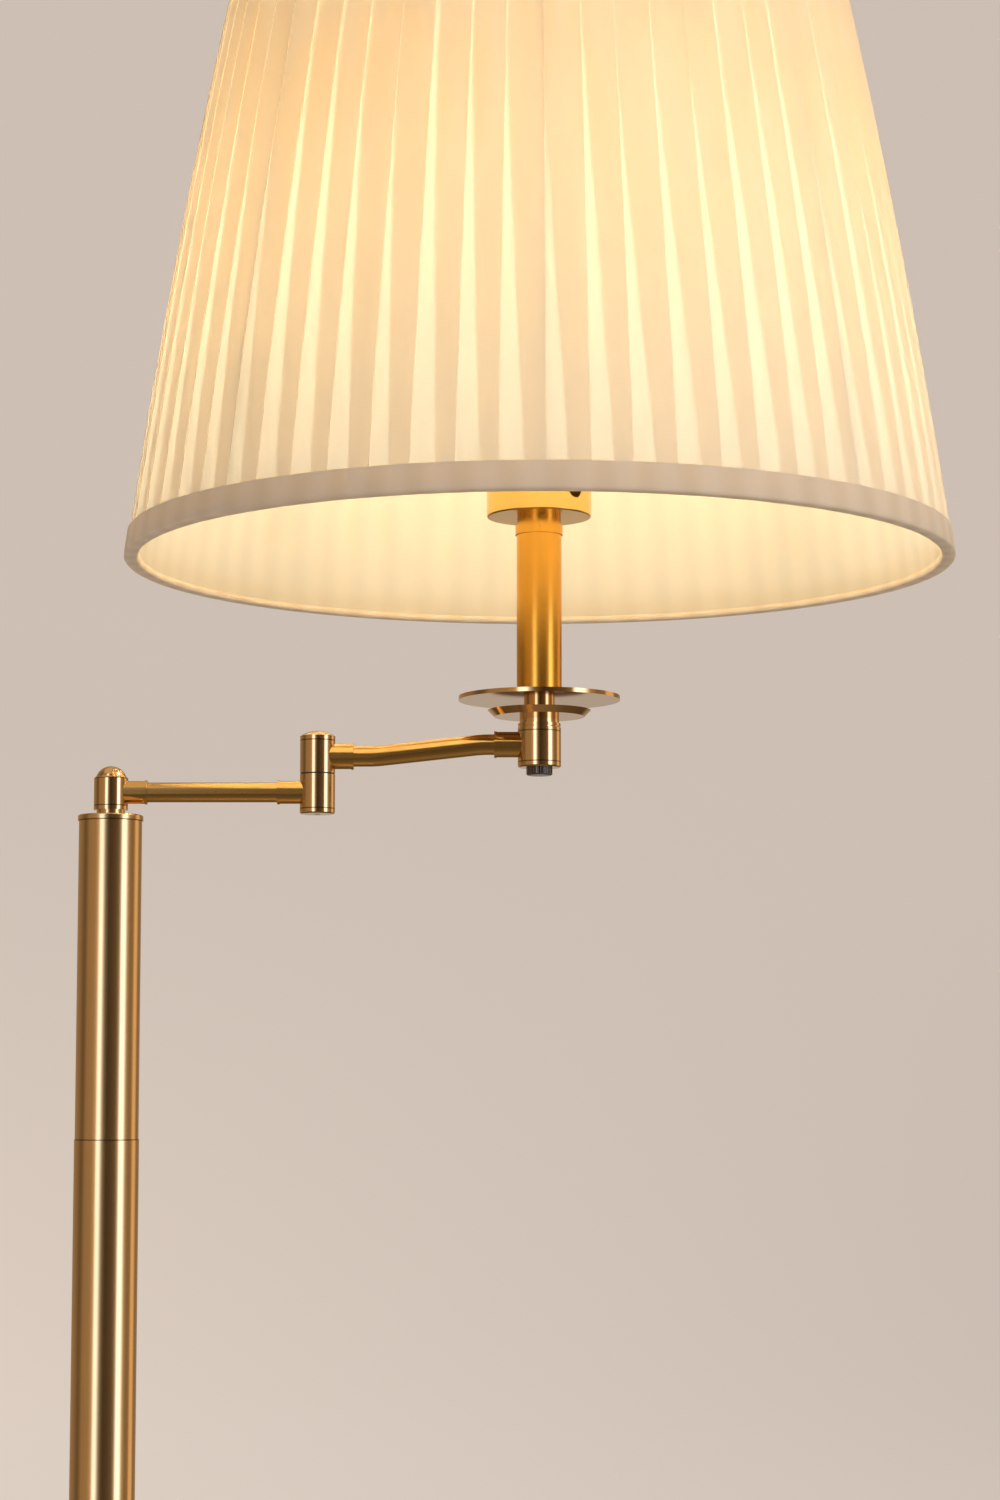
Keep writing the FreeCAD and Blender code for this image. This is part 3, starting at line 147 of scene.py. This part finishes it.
def pleated_cover():
    """Knife pleats, all folded the same way: face, fold, return layer and back fold in turn."""
    outer, return_out, return_in, inner = 0.12 * MM, 0.32 * MM, 0.95 * MM, 1.20 * MM
    least_depth = 0.05 * MM
    crown_depth = 0.20 * MM
    pitch = 2 * math.pi / PLEATS
    fold_rounding = 0.0012 * pitch
    widest_tuck = 0.985
    sway_share = 0.006
    lean = [chance.uniform(-0.035, 0.035) for _ in range(PLEATS)]
    reach = [chance.uniform(0.88, 1.10) for _ in range(PLEATS)]
    wave = [chance.uniform(0, 2 * math.pi) for _ in range(PLEATS)]
    face_shares = (0.0, 0.012, 0.06, 0.14, 0.24, 0.36, 0.48,
                   0.60, 0.72, 0.83, 0.92, 0.975, 0.994, 1.0)
    return_shares = (0.0, 0.02, 0.5, 0.98, 1.0)
    face_steps = len(face_shares)
    rows = []
    folded_width = []
    for r in range(PLEAT_STEPS_UP + 1):
        height = SHADE_HEIGHT * r / PLEAT_STEPS_UP
        radius = side_radius(height)
        free = math.sin(math.pi * height / SHADE_HEIGHT)

        def fold(i):
            """Angle of pleat i's outer fold, which wavers a little between the two rings."""
            sway = sway_share * math.sin(wave[i % PLEATS] + 3.5 * height / SHADE_HEIGHT) * free
            return pitch * (i + lean[i % PLEATS] + sway)

        def tuck(i):
            return pitch * min(widest_tuck, pleat_overlap(height) * reach[i % PLEATS])

        row = []
        for i in range(PLEATS):
            start = fold(i - 1) - tuck(i - 1)
            end = fold(i)
            back = end - tuck(i)
            crown = crown_depth * free
            for t in face_shares:
                depth = inner + (outer - inner) * t - crown * math.sin(math.pi * t)
                row.append(polar(radius - max(depth, least_depth), start + (end - start) * t, height))
            row.append(polar(radius - (outer + return_out) / 2, end + fold_rounding, height))
            for t in return_shares:
                depth = return_out + (return_in - return_out) * t
                row.append(polar(radius - depth, end - tuck(i) * t, height))
            row.append(polar(radius - (return_in + inner) / 2, back - fold_rounding, height))
            folded_width.append((end - start + tuck(i)) * radius)
        rows.append(row)
    period = face_steps + len(return_shares) + 2

    def hidden(column):
        return 1 if column % period >= face_steps - 1 else 0

    piece = ring_grid("pleated_cover", rows, face_material=hidden)
    cloth_width = sum(folded_width) / len(rows)
    return piece, cloth_width


def lining():
    """Smooth inner cloth with the soft flutes that come from the pleats behind it."""
    columns = PLEATS * 8
    steps_up = 36
    cover_gap = 0.25 * MM
    flute_depth = 0.22 * MM
    rows = []
    for r in range(steps_up + 1):
        height = (lining_high.z - lining_low.z) * r / steps_up
        radius = side_radius(height) - LINING_INSET - cover_gap
        row = []
        for c in range(columns):
            angle = 2 * math.pi * c / columns
            flute = flute_depth * math.sin(PLEATS * angle + 0.6 * math.sin(5 * angle))
            row.append(polar(radius + flute, angle, height))
        rows.append(row)
    return ring_grid("lining_cloth", rows)


def folded_tape(name, low, high, edge, outward):
    """Bias tape round one edge of the shade. outward is -1 at the lower edge, +1 at the upper."""
    thick = 0.62 * MM
    slack = 0.06 * MM
    columns = PLEATS * 8
    face_out = 0.72 * MM
    fold_in = LINING_INSET + 0.6 * MM + 0.72 * MM
    hem = edge + outward * 0.68 * MM
    face_far = low if outward > 0 else high
    fold_far = edge - outward * 2.5 * MM
    outside = [
        (face_out - thick, face_far), (face_out - 0.1 * MM, face_far),
        (face_out, face_far + outward * 0.5 * MM),
        (face_out, edge - outward * 6 * MM), (face_out, edge - outward * 1.2 * MM),
        (face_out - 0.15 * MM, edge), (face_out - 0.7 * MM, hem), (-fold_in + 0.7 * MM, hem),
        (-fold_in + 0.15 * MM, edge), (-fold_in, edge - outward * 0.8 * MM), (-fold_in, fold_far),
        (-fold_in + thick * 0.8, fold_far), (-fold_in + thick, fold_far + outward * 0.3 * MM),
        (-fold_in + thick, edge - outward * 0.5 * MM), (-fold_in + 1.2 * MM, edge),
        (face_out - 1.3 * MM, edge), (face_out - thick, edge - outward * 0.6 * MM),
        (face_out - thick, edge - outward * 6 * MM),
    ]
    rows = []
    for across, height in outside:
        row = []
        for c in range(columns):
            angle = 2 * math.pi * c / columns
            ease = slack * math.sin(PLEATS * angle) if across > 0 else 0.0
            radius = side_radius(min(max(height, 0), SHADE_HEIGHT)) + across - ease
            row.append(polar(radius, angle, height))
        rows.append(row)
    if outward > 0:
        rows.reverse()
    return ring_grid(name, rows, closed_section=True)


def felt_pad():
    """Pressed felt disc under the weight, with a soft worn edge and a slightly uneven face."""
    radius = (pad_high.x - pad_low.x) / 2
    thick = pad_high.z - pad_low.z
    fray_depth = 0.35 * MM
    edge_gap = 0.4 * MM
    section = [(0.0, 0.0), (0.25, 0.0), (0.5, 0.0), (0.75, 0.0), (0.93, 0.0), (0.985, 0.03),
               (0.998, 0.2), (1.0, 0.5), (0.998, 0.8), (0.985, 0.97), (0.93, 1.0), (0.5, 1.0),
               (0.0, 1.0)]
    columns = 160
    rows = []
    for share, level in reversed(section):
        row = []
        for c in range(columns):
            angle = 2 * math.pi * c / columns
            worn = math.sin(23 * angle) * math.sin(7 * angle + 1) if share > 0.9 else 0.0
            reach = max(share * radius - edge_gap + fray_depth * worn, edge_gap)
            spot = (reach * math.cos(angle), reach * math.sin(angle), pad_low.z + thick * level)
            row.append(Vector(spot))
        rows.append(row)
    points, faces = ring_faces(rows)
    top_ring = range(columns)
    bottom_ring = range(len(points) - columns, len(points))
    faces += [tuple(reversed(top_ring)), tuple(bottom_ring)]
    return add_piece("felt_disc", points, faces)


# ---- material helpers ---------------------------------------------------------------

class Nodes:
    """The node tree of a material or a world, with short calls for the nodes used here."""

    def __init__(self, owner, output_kind="OutputMaterial"):
        owner.use_nodes = True
        self.owner = owner
        self.tree = owner.node_tree
        self.tree.nodes.clear()
        self.output = self.node(output_kind)

    def node(self, kind, inputs=None, **settings):
        made = self.tree.nodes.new("ShaderNode" + kind)
        for key, setting in settings.items():
            setattr(made, key, setting)
        for key, source in (inputs or {}).items():
            self.feed(made.inputs[key], source)
        return made

    def feed(self, socket, source):
        if isinstance(source, bpy.types.NodeSocket):
            self.tree.links.new(source, socket)
        elif isinstance(source, bpy.types.Node):
            self.tree.links.new(source.outputs[0], socket)
        else:
            socket.default_value = source

    def place(self, scale=(1, 1, 1)):
        """The piece's own coordinates, stretched."""
        coords = self.node("TexCoord").outputs["Object"]
        return self.node("Mapping", {"Vector": coords, "Scale": scale}).outputs[0]

    def noise(self, vector, scale, detail=3.0, rough=0.5):
        made = self.node("TexNoise", {
            "Vector": vector, "Scale": scale, "Detail": detail, "Roughness": rough})
        return made.outputs["Fac"]

    def maths(self, operation, *values):
        """One Math node on one, two or three values."""
        return self.node("Math", dict(enumerate(values)), operation=operation).outputs[0]

    def ramp(self, source, stops):
        made = self.node("ValToRGB", {"Fac": source})
        band = made.color_ramp
        band.elements.remove(band.elements[1])
        band.elements[0].position, band.elements[0].color = stops[0]
        for position, colour in stops[1:]:
            band.elements.new(position).color = colour
        return made.outputs["Color"]

    def spread(self, source, low, high):
        """Rescale a 0..1 value to low..high."""
        made = self.node("MapRange", {"Value": source, "To Min": low, "To Max": high})
        return made.outputs["Result"]

    def share_from(self, source, low, high):
        """0 where the value is low or under, rising to 1 where it is high or over."""
        made = self.node("MapRange", {"Value": source, "From Min": low, "From Max": high})
        return made.outputs["Result"]

    def mix_colour(self, factor, first, second, blend="MIX"):
        inputs = {"Fac": factor, "Color1": first, "Color2": second}
        return self.node("MixRGB", inputs, blend_type=blend).outputs["Color"]

    def bump(self, height, strength, distance):
        inputs = {"Height": height, "Strength": strength, "Distance": distance}
        return self.node("Bump", inputs).outputs[0]

    def finish(self, shader):
        """Join the shader to the output, and give back the material or world."""
        self.feed(self.output.inputs["Surface"], shader)
        return self.owner


def new_material(name):
    return Nodes(bpy.data.materials.new(name))


def grey(value):
    return (value, value, value, 1.0)


def opaque(colour, share=1.0):
    """A colour for a shader socket, darkened to a share of itself."""
    return (*[channel * share for channel in colour], 1)


# ---- metal --------------------------------------------------------------------------

JOINT_HALF_WIDTH = 0.30 * MM
JOINT_DARKNESS = 0.72
JOINT_COLOUR = (0.10, 0.06, 0.03, 1)


def joint_lines(n, heights):
    """1 in the thin dark lines where two turned pieces meet, at the given heights."""
    level = n.node("SeparateXYZ", {"Vector": n.place()}).outputs["Z"]
    total = 0.0
    for height in heights:
        total = n.maths("MAXIMUM", n.maths("COMPARE", level, height, JOINT_HALF_WIDTH), total)
    return total


def brass(name, tint, roughness, grain_scale, grain_depth, grain_tone=0.22, joints=()):
    """Lacquered brass: fine polishing lines along one direction and slow tone changes."""
    n = new_material(name)
    lines = n.noise(n.place(grain_scale), 1.0, detail=2.0, rough=0.6)
    cloud = n.noise(n.place(), 38.0)
    base = n.mix_colour(cloud, opaque(tint, 0.90), opaque(tint))
    base = n.mix_colour(n.spread(lines, 0.0, grain_tone), base, opaque(tint, 0.82))
    if joints:
        amount = n.spread(joint_lines(n, joints), 0.0, JOINT_DARKNESS)
        base = n.mix_colour(amount, base, JOINT_COLOUR)
    rough = n.spread(lines, roughness * 0.8, roughness * 1.25)
    normal = n.bump(lines, grain_depth, 0.04 * MM)
    shader = n.node("BsdfPrincipled", {
        "Base Color": base, "Metallic": 1.0, "Roughness": rough, "Normal": normal})
    return n.finish(shader)


def plain_metal(name, colour, roughness):
    """Plated metal: small cloudy changes of tone and shine."""
    n = new_material(name)
    cloud = n.noise(n.place(), 120.0, detail=4.0)
    base = n.mix_colour(cloud, opaque(colour, 0.8), opaque(colour))
    rough = n.spread(cloud, roughness * 0.75, roughness * 1.3)
    shader = n.node("BsdfPrincipled", {
        "Base Color": base, "Metallic": 1.0, "Roughness": rough,
        "Normal": n.bump(cloud, 0.15, 0.05 * MM)})
    return n.finish(shader)


def moulded(name, colour, roughness, spots=600.0):
    """Plastic, paint or sheath: faint mottling and a fine moulded skin."""
    n = new_material(name)
    skin = n.noise(n.place(), spots)
    cloud = n.noise(n.place(), 30.0, detail=2.0)
    base = n.mix_colour(cloud, opaque(colour, 0.92), opaque(colour))
    rough = n.spread(skin, roughness * 0.85, roughness * 1.15)
    shader = n.node("BsdfPrincipled", {
        "Base Color": base, "Metallic": 0.0, "Roughness": rough,
        "Normal": n.bump(skin, 0.25, 0.06 * MM)})
    return n.finish(shader)


BULB_STRENGTH = 52.0


def opal_glass():
    """Lit opal bulb: the tone of its light drifts a little over the glass."""
    n = new_material("opal_glass")
    cloud = n.noise(n.place(), 25.0, detail=2.0)
    glow = n.mix_colour(cloud, (1.0, 0.83, 0.53, 1), (1.0, 0.86, 0.57, 1))
    shader = n.node("BsdfPrincipled", {
        "Base Color": (0.95, 0.90, 0.80, 1), "Roughness": n.spread(cloud, 0.25, 0.35),
        "Emission Color": glow, "Emission Strength": BULB_STRENGTH})
    return n.finish(shader)


# ---- cloth --------------------------------------------------------------------------

def round_the_shade(n):
    """Angle round the shade's axis, and the piece's own coordinates from that axis."""
    coords = n.node("TexCoord").outputs["Object"]
    from_axis = n.node("VectorMath", {0: coords, 1: tuple(SHADE_AXIS)}, operation="SUBTRACT")
    parts = n.node("SeparateXYZ", {"Vector": from_axis}).outputs
    return n.maths("ARCTAN2", parts["Y"], parts["X"]), parts


def painted_pleat_shadows(n):
    """Painted shade: soft upright streaks, one to a pleat and uneven, for the shadows of the pleats
    behind that show through the cloth.
    """
    turn, parts = round_the_shade(n)
    wander = n.noise(n.place((9, 9, 2)), 1.0, detail=2.0)
    phase = n.maths("MULTIPLY", turn, float(PLEATS))
    wave = n.maths("SINE", n.maths("ADD", phase, n.spread(wander, -2.5, 2.5)))
    return n.maths("MULTIPLY", n.share_from(wave, -0.7, 0.9), n.spread(wander, 0.5, 1.0))


def upper_glow(n):
    """How golden the cloth glows: uneven upright streaks, stronger towards the bulb's level."""
    veil = n.noise(n.place((75, 75, 2)), 1.0, detail=2.0)
    patches = n.share_from(veil, 0.36, 0.64)
    level = n.node("SeparateXYZ", {"Vector": n.place()}).outputs["Z"]
    climb = n.share_from(level, SHADE_FLOOR + 0.06, SHADE_FLOOR + 0.28)
    return n.maths("MULTIPLY", n.spread(patches, 0.25, 1.0), climb)


THREADS_PER_METRE = 1600.0
WEAVE_RADIUS = 0.18             # the shade's radius where the weave's threads are square


def weave(n):
    """Height of a fine plain weave that wraps round the shade, as a 0..1 value."""
    turn, parts = round_the_shade(n)
    warp = n.maths("SINE", n.maths("MULTIPLY", turn, 2 * math.pi * WEAVE_RADIUS * THREADS_PER_METRE))
    weft = n.maths("SINE", n.maths("MULTIPLY", parts["Z"], 2 * math.pi * THREADS_PER_METRE))
    return n.share_from(n.maths("MULTIPLY", warp, weft), -1.0, 1.0)


def cloth(name, colour, shine_through, through_colour, see_through=0.0, streaks=0.0, glow=0.0):
    """Woven cloth: some light passes through it, and threads vary a little in thickness."""
    n = new_material(name)
    threads = weave(n)
    slubs = n.spread(n.noise(n.place((420, 420, 26)), 1.0), 0.0, 0.20)
    cloud = n.noise(n.place(), 14.0, detail=2.0)
    shade = n.mix_colour(slubs, opaque(colour), opaque(colour, 0.86))
    passing = n.mix_colour(slubs, opaque(through_colour), opaque(through_colour, 0.84))
    passing = n.mix_colour(n.spread(cloud, 0.0, 0.12), passing, opaque(through_colour, 0.9))
    # Painted shade: the streaks darken the cloth's colour and the light it passes, for the pleats'
    # shadows.
    if streaks:
        amount = n.spread(painted_pleat_shadows(n), 0.0, streaks)
        pleat_shadow_tone = (colour[0] * 0.93, colour[1] * 0.86, colour[2] * 0.72, 1)
        shade = n.mix_colour(amount, shade, pleat_shadow_tone)
        passing = n.mix_colour(amount, passing, opaque(through_colour, 0.72))
    if glow:
        golden = (through_colour[0], through_colour[1] * 0.88, through_colour[2] * 0.60, 1)
        passing = n.mix_colour(n.spread(upper_glow(n), 0.0, glow), passing, golden)
    normal = n.bump(threads, 0.2, 0.08 * MM)
    face = n.node("BsdfPrincipled", {
        "Base Color": shade, "Roughness": n.spread(threads, 0.75, 0.95), "Normal": normal,
        "Sheen Weight": 0.15, "Specular IOR Level": 0.2})
    through = n.node("BsdfTranslucent", {"Color": passing, "Normal": normal})
    mixed = n.node("MixShader", {0: shine_through, 1: face, 2: through})
    if see_through:
        clear = n.node("BsdfTransparent", {"Color": (1.0, 0.95, 0.86, 1)})
        mixed = n.node("MixShader", {0: see_through, 1: mixed, 2: clear})
    return n.finish(mixed)


def felt():
    n = new_material("felt")
    fibres = n.noise(n.place((900, 900, 900)), 1.0, detail=5.0, rough=0.7)
    base = n.mix_colour(fibres, (0.030, 0.030, 0.032, 1), (0.075, 0.073, 0.072, 1))
    shader = n.node("BsdfPrincipled", {
        "Base Color": base, "Roughness": n.spread(fibres, 0.85, 1.0), "Sheen Weight": 0.4,
        "Normal": n.bump(fibres, 0.6, 0.3 * MM)})
    return n.finish(shader)


SATIN_TINT = (0.82, 0.56, 0.30)
UPRIGHT_GRAIN = (900, 900, 5)


def bottom_of(node):
    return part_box(node)[0].z


def top_of(node):
    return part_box(node)[1].z


satin_upright = brass("satin_brass_upright", SATIN_TINT, 0.19, UPRIGHT_GRAIN, 0.05,
                      joints=(top_of("column_upper_tube"), bottom_of("column_upper_tube")))
satin_swivel = brass("satin_brass_swivel", SATIN_TINT, 0.12, UPRIGHT_GRAIN, 0.02, 0.12,
                     joints=(bottom_of("swivel_dome"), bottom_of("swivel_barrel") + 2.2 * MM))
satin_elbow = brass("satin_brass_elbow", SATIN_TINT, 0.12, UPRIGHT_GRAIN, 0.02, 0.12,
                    joints=(bottom_of("elbow_crown"), top_of("elbow_bottom_cap")))
satin_head = brass("satin_brass_head", SATIN_TINT, 0.12, UPRIGHT_GRAIN, 0.02, 0.12,
                   joints=(top_of("head_barrel") - 1.8 * MM, top_of("head_bottom_cap")))
# Painted glow: the arms' brass is tinted a warmer gold than the upright brass, for the lit shade's
# light on their tops.
level_brass_painted_glow = brass("satin_brass_level_painted_glow", (0.88, 0.58, 0.22), 0.15, (0.8, 900, 900), 0.0, 0.10)
# Painted glow and painted reflection: the candle tube and its ring get brass tinted deep orange for
# the lit shade's light on them, and upright polishing lines strong enough to stand in partly for
# reflected streaks.
candle_brass_painted_glow = brass("candle_brass_painted_glow", (0.86, 0.43, 0.065), 0.25, (330, 330, 2), 0.03, 0.50)
# Painted glow: the lampholder cup's brass is tinted more yellow than the rest, for the lit shade's
# light on it.
cup_brass_painted_glow = brass("cup_brass_painted_glow", (0.95, 0.62, 0.19), 0.22, (500, 500, 4), 0.03)
MATERIALS = {
    "satin_brass": satin_upright,
    "polished_brass": brass("polished_brass", (0.82, 0.54, 0.27), 0.09,
                            (300, 300, 300), 0.01, 0.10),
    "plated_steel": plain_metal("plated_steel", (0.62, 0.60, 0.55), 0.28),
    "dark_nickel": plain_metal("dark_nickel", (0.16, 0.13, 0.11), 0.25),
    "iron": moulded("iron", (0.05, 0.05, 0.05), 0.7, spots=300.0),
    "felt": felt(),
    "black_nylon": moulded("black_nylon", (0.02, 0.018, 0.016), 0.45),
    "white_thermoplastic": moulded("white_thermoplastic", (0.80, 0.77, 0.70), 0.4),
    "opal_glass": opal_glass(),
    "white_wire": moulded("white_wire", (0.80, 0.77, 0.70), 0.5, spots=900.0),
    "pleated_fabric": cloth("pleated_fabric", (0.88, 0.81, 0.71), 0.62, (1.0, 0.95, 0.86),
                            glow=0.55),
    "lining_fabric": cloth("lining_fabric", (0.86, 0.82, 0.72), 0.62, (1.0, 0.95, 0.86),
                           streaks=0.26),
    "binding_tape": cloth("binding_tape", (0.86, 0.74, 0.60), 0.40, (1.0, 0.86, 0.62),
                          streaks=0.6),
    "wire_sheath": moulded("wire_sheath", (0.72, 0.66, 0.54), 0.5),
}
# Painted shade: the layers folded under the face are the same cloth but get a darker, more golden
# colour, which darkens the three-layer bands as the light lost through them would. They are also
# partly clear.
under_layers = cloth("pleated_fabric_under_layers", (0.88, 0.77, 0.60), 0.62, (1.0, 0.90, 0.70),
                     see_through=0.56)

LEVEL_NODES = ("arm1_tube", "arm1_inner_ferrule", "arm1_outer_ferrule",
               "arm2_tube", "arm2_inner_ferrule", "arm2_outer_ferrule")
ELBOW_NODES = ("elbow_lower_barrel", "elbow_upper_barrel", "elbow_crown", "elbow_bottom_cap")
OWN_FINISH = {name: level_brass_painted_glow for name in LEVEL_NODES}
OWN_FINISH.update({name: satin_swivel for name in ("swivel_barrel", "swivel_dome")})
OWN_FINISH.update({name: satin_elbow for name in ELBOW_NODES})
OWN_FINISH.update({name: satin_head for name in ("head_barrel", "head_bottom_cap")})
OWN_FINISH.update(candle_tube=candle_brass_painted_glow, candle_ring=candle_brass_painted_glow, lampholder_cup=cup_brass_painted_glow)


def dress_frame():
    """Give each carried-over node the finish of its record slot."""
    slot_of = {item["node"]: item["material_slot"] for item in frame["record"]["subparts"]}
    for name, piece in nodes.items():
        finish = OWN_FINISH.get(name) or MATERIALS[slot_of[name]]
        piece.data.materials.clear()
        piece.data.materials.append(finish)


# ---- studio -------------------------------------------------------------------------

BACKDROP_TONE = (0.700, 0.618, 0.552)
PANEL_STRENGTH = 3.0
FILL_STRENGTH = 0.55


def warm(value):
    """Light from the room and from dark flags, which is warm."""
    return (value, value * 0.69, value * 0.38, 1.0)


def plain(value):
    """Light from behind the lamp, between warm and cool."""
    return (value, value * 0.88, value * 0.76, 1.0)


def cool(value):
    """Light from a soft panel, which is whiter than the room."""
    return (value, value * 1.12, value * 1.30, 1.0)


def sky():
    """Surroundings that only reflections see: tall soft panels between dark flags.

    The camera sees one plain tone behind everything, and other rays see an even soft fill.
    """
    world = bpy.data.worlds.new("studio")
    bpy.context.scene.world = world
    n = Nodes(world, "OutputWorld")
    parts = n.node("SeparateXYZ", {"Vector": n.node("TexCoord").outputs["Generated"]}).outputs
    turn = n.maths("ARCTAN2", parts["X"], n.maths("MULTIPLY", parts["Y"], -1.0))
    around = n.share_from(turn, -math.pi, math.pi)
    height = n.share_from(parts["Z"], -1.0, 1.0)

    def by_heading(stops):
        """Colours round the room, by degrees from straight ahead of the lamp's front."""
        return n.ramp(around, [((degrees + 180) / 360, colour) for degrees, colour in stops])

    def by_rise(stops):
        """Colours up the room, by degrees above the horizon."""
        rises = [((math.sin(math.radians(degrees)) + 1) / 2, colour) for degrees, colour in stops]
        return n.ramp(height, rises)

    walls = by_heading([
        (-180, plain(0.16)), (-150, warm(0.12)), (-112, warm(0.09)), (-98, warm(0.05)),
        (-86, warm(0.06)), (-76, warm(0.12)), (-48, warm(0.13)), (-38, warm(0.17)),
        (-33, warm(0.24)), (-29, cool(0.66)),
        (-19, cool(0.62)), (-14, cool(0.20)), (-8, warm(0.07)), (4, warm(0.015)), (26, warm(0.035)),
        (38, warm(0.05)), (47, warm(0.10)), (50, cool(0.46)), (54, cool(0.74)), (65, cool(0.74)),
        (70, cool(0.40)), (76, warm(0.17)), (90, warm(0.085)), (106, warm(0.10)), (112, warm(0.32)),
        (127, warm(0.30)), (136, warm(0.09)), (150, warm(0.09)), (180, plain(0.16)),
    ])
    wall_share = by_rise([
        (-90, grey(0)), (-26, grey(0)), (-16, grey(1)), (48, grey(1)), (62, grey(0))])
    rest = by_rise([
        (-90, warm(0.08)), (-60, warm(0.045)), (-26, warm(0.03)), (-16, grey(0)), (48, grey(0)),
        (62, warm(0.24)), (90, warm(0.24))])
    tone = n.mix_colour(1.0, walls, wall_share, "MULTIPLY")
    tone = n.mix_colour(1.0, tone, rest, "ADD")
    panels = n.node("Background", {"Color": tone, "Strength": PANEL_STRENGTH})
    fill = n.node("Background", {"Color": (1.0, 0.95, 0.90, 1), "Strength": FILL_STRENGTH})
    seen = n.node("Background", {"Color": (*BACKDROP_TONE, 1), "Strength": 1.0})
    path = n.node("LightPath").outputs
    shown = n.node("MixShader", {0: path["Is Glossy Ray"], 1: fill, 2: panels})
    shown = n.node("MixShader", {0: path["Is Camera Ray"], 1: shown, 2: seen})
    n.finish(shown)


def backdrop():
    """Pale round floor that turns up through a cove into a wall on all sides."""
    floor_radius, cove, wall_top = 7.0, 1.6, 9.0
    segments, cove_steps = 96, 12
    outline = [(0.02, 0), (0.6, 0), (2.0, 0), (4.5, 0), (floor_radius, 0)]
    for step in range(1, cove_steps + 1):
        angle = math.pi / 2 * step / cove_steps
        outline.append((floor_radius + cove * math.sin(angle), cove * (1 - math.cos(angle))))
    outline.append((floor_radius + cove, wall_top))
    turns = [2 * math.pi * c / segments for c in range(segments)]
    rows = []
    for reach, height in outline:
        rows.append([Vector((reach * math.cos(t), reach * math.sin(t), height)) for t in turns])
    sweep = ring_grid("backdrop", rows)
    n = new_material("backdrop_paper")
    parts = n.node("SeparateXYZ", {"Vector": n.place()}).outputs
    # Painted light: the paper is painted lighter near the floor and darker up the wall, and darker
    # again low on the right.
    climb = n.share_from(parts["Z"], 0.0, 2.0)
    drift = n.share_from(parts["X"], -1.6, 2.0)
    low_right = n.maths("MULTIPLY", n.maths("SUBTRACT", 1.0, climb), drift)
    paper = n.noise(n.place(), 3.0, detail=2.0)
    tone = n.mix_colour(climb, opaque(BACKDROP_TONE, 1.07), opaque(BACKDROP_TONE, 0.92))
    tone = n.mix_colour(low_right, tone, n.mix_colour(1.0, tone, grey(0.80), "MULTIPLY"))
    darker = n.mix_colour(1.0, tone, grey(0.93), "MULTIPLY")
    tone = n.mix_colour(n.spread(paper, 0.0, 0.08), tone, darker)
    lit = n.node("BsdfDiffuse", {"Color": tone, "Roughness": 0.6})
    # Painted light: the paper also glows a little by itself, on top of the light it gets.
    glow = n.node("Emission", {"Color": tone, "Strength": 0.42})
    shader = n.node("AddShader", {0: lit, 1: glow})
    sweep.data.materials.append(n.finish(shader))
    for kind in ("visible_diffuse", "visible_glossy", "visible_transmission", "visible_shadow"):
        setattr(sweep, kind, False)


def softbox(name, place, aim, size, power):
    """A large soft panel that lights the object. Neither the camera nor reflections see it."""
    data = bpy.data.lights.new(name, "AREA")
    data.shape = "RECTANGLE"
    data.size, data.size_y = size
    data.energy = power
    data.color = (0.97, 0.98, 1.0)
    light = bpy.data.objects.new(name, data)
    light.location = place
    light.rotation_euler = (Vector(aim) - Vector(place)).to_track_quat("-Z", "Y").to_euler()
    light.visible_camera = False
    light.visible_glossy = False
    bpy.context.scene.collection.objects.link(light)


CAMERA_LENS = 75.1              # millimetres, on a sensor 36 mm wide
CAMERA_PLACE = (0.1945, -1.5587, 0.9711)
CAMERA_PITCH = 5.92             # degrees upwards


def camera():
    data = bpy.data.cameras.new("camera")
    data.lens = CAMERA_LENS
    data.sensor_width = 36.0
    data.clip_end = 60.0
    eye = bpy.data.objects.new("camera", data)
    eye.location = CAMERA_PLACE
    eye.rotation_euler = (math.pi / 2 + math.radians(CAMERA_PITCH), 0, 0)
    bpy.context.scene.collection.objects.link(eye)
    bpy.context.scene.camera = eye


# ---- the scene ----------------------------------------------------------------------

def build_shade():
    cover, cloth_width = pleated_cover()
    cover.data.materials.append(MATERIALS["pleated_fabric"])
    cover.data.materials.append(under_layers)
    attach(cover, "upper_arm")
    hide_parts("shade_cover")
    inner = lining()
    inner.data.materials.append(MATERIALS["lining_fabric"])
    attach(inner, "upper_arm")
    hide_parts("shade_lining")
    tape_height = 13.2 * MM
    tape_lip = 0.7 * MM
    tape_top = SHADE_HEIGHT + tape_lip
    lower = folded_tape("lower_tape", -tape_lip, tape_height - tape_lip, 0.0, -1)
    upper = folded_tape("upper_tape", tape_top - tape_height, tape_top, SHADE_HEIGHT, 1)
    for tape, node, radius in ((lower, "shade_bottom_binding", BOTTOM_RADIUS),
                               (upper, "shade_top_binding", TOP_RADIUS)):
        tape.data.materials.append(MATERIALS["binding_tape"])
        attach(tape, "upper_arm")
        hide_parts(node)


def build_pad():
    pad = felt_pad()
    pad.data.materials.append(MATERIALS["felt"])
    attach(pad, "stand")
    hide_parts("base_pad")


dress_frame()
build_shade()
build_pad()
sky()
backdrop()
softbox("key_panel", (2.6, -2.4, 2.6), (0.2, 0.0, 1.1), (1.6, 1.6), 58.0)
camera()
bpy.context.scene.view_settings.view_transform = "Standard"
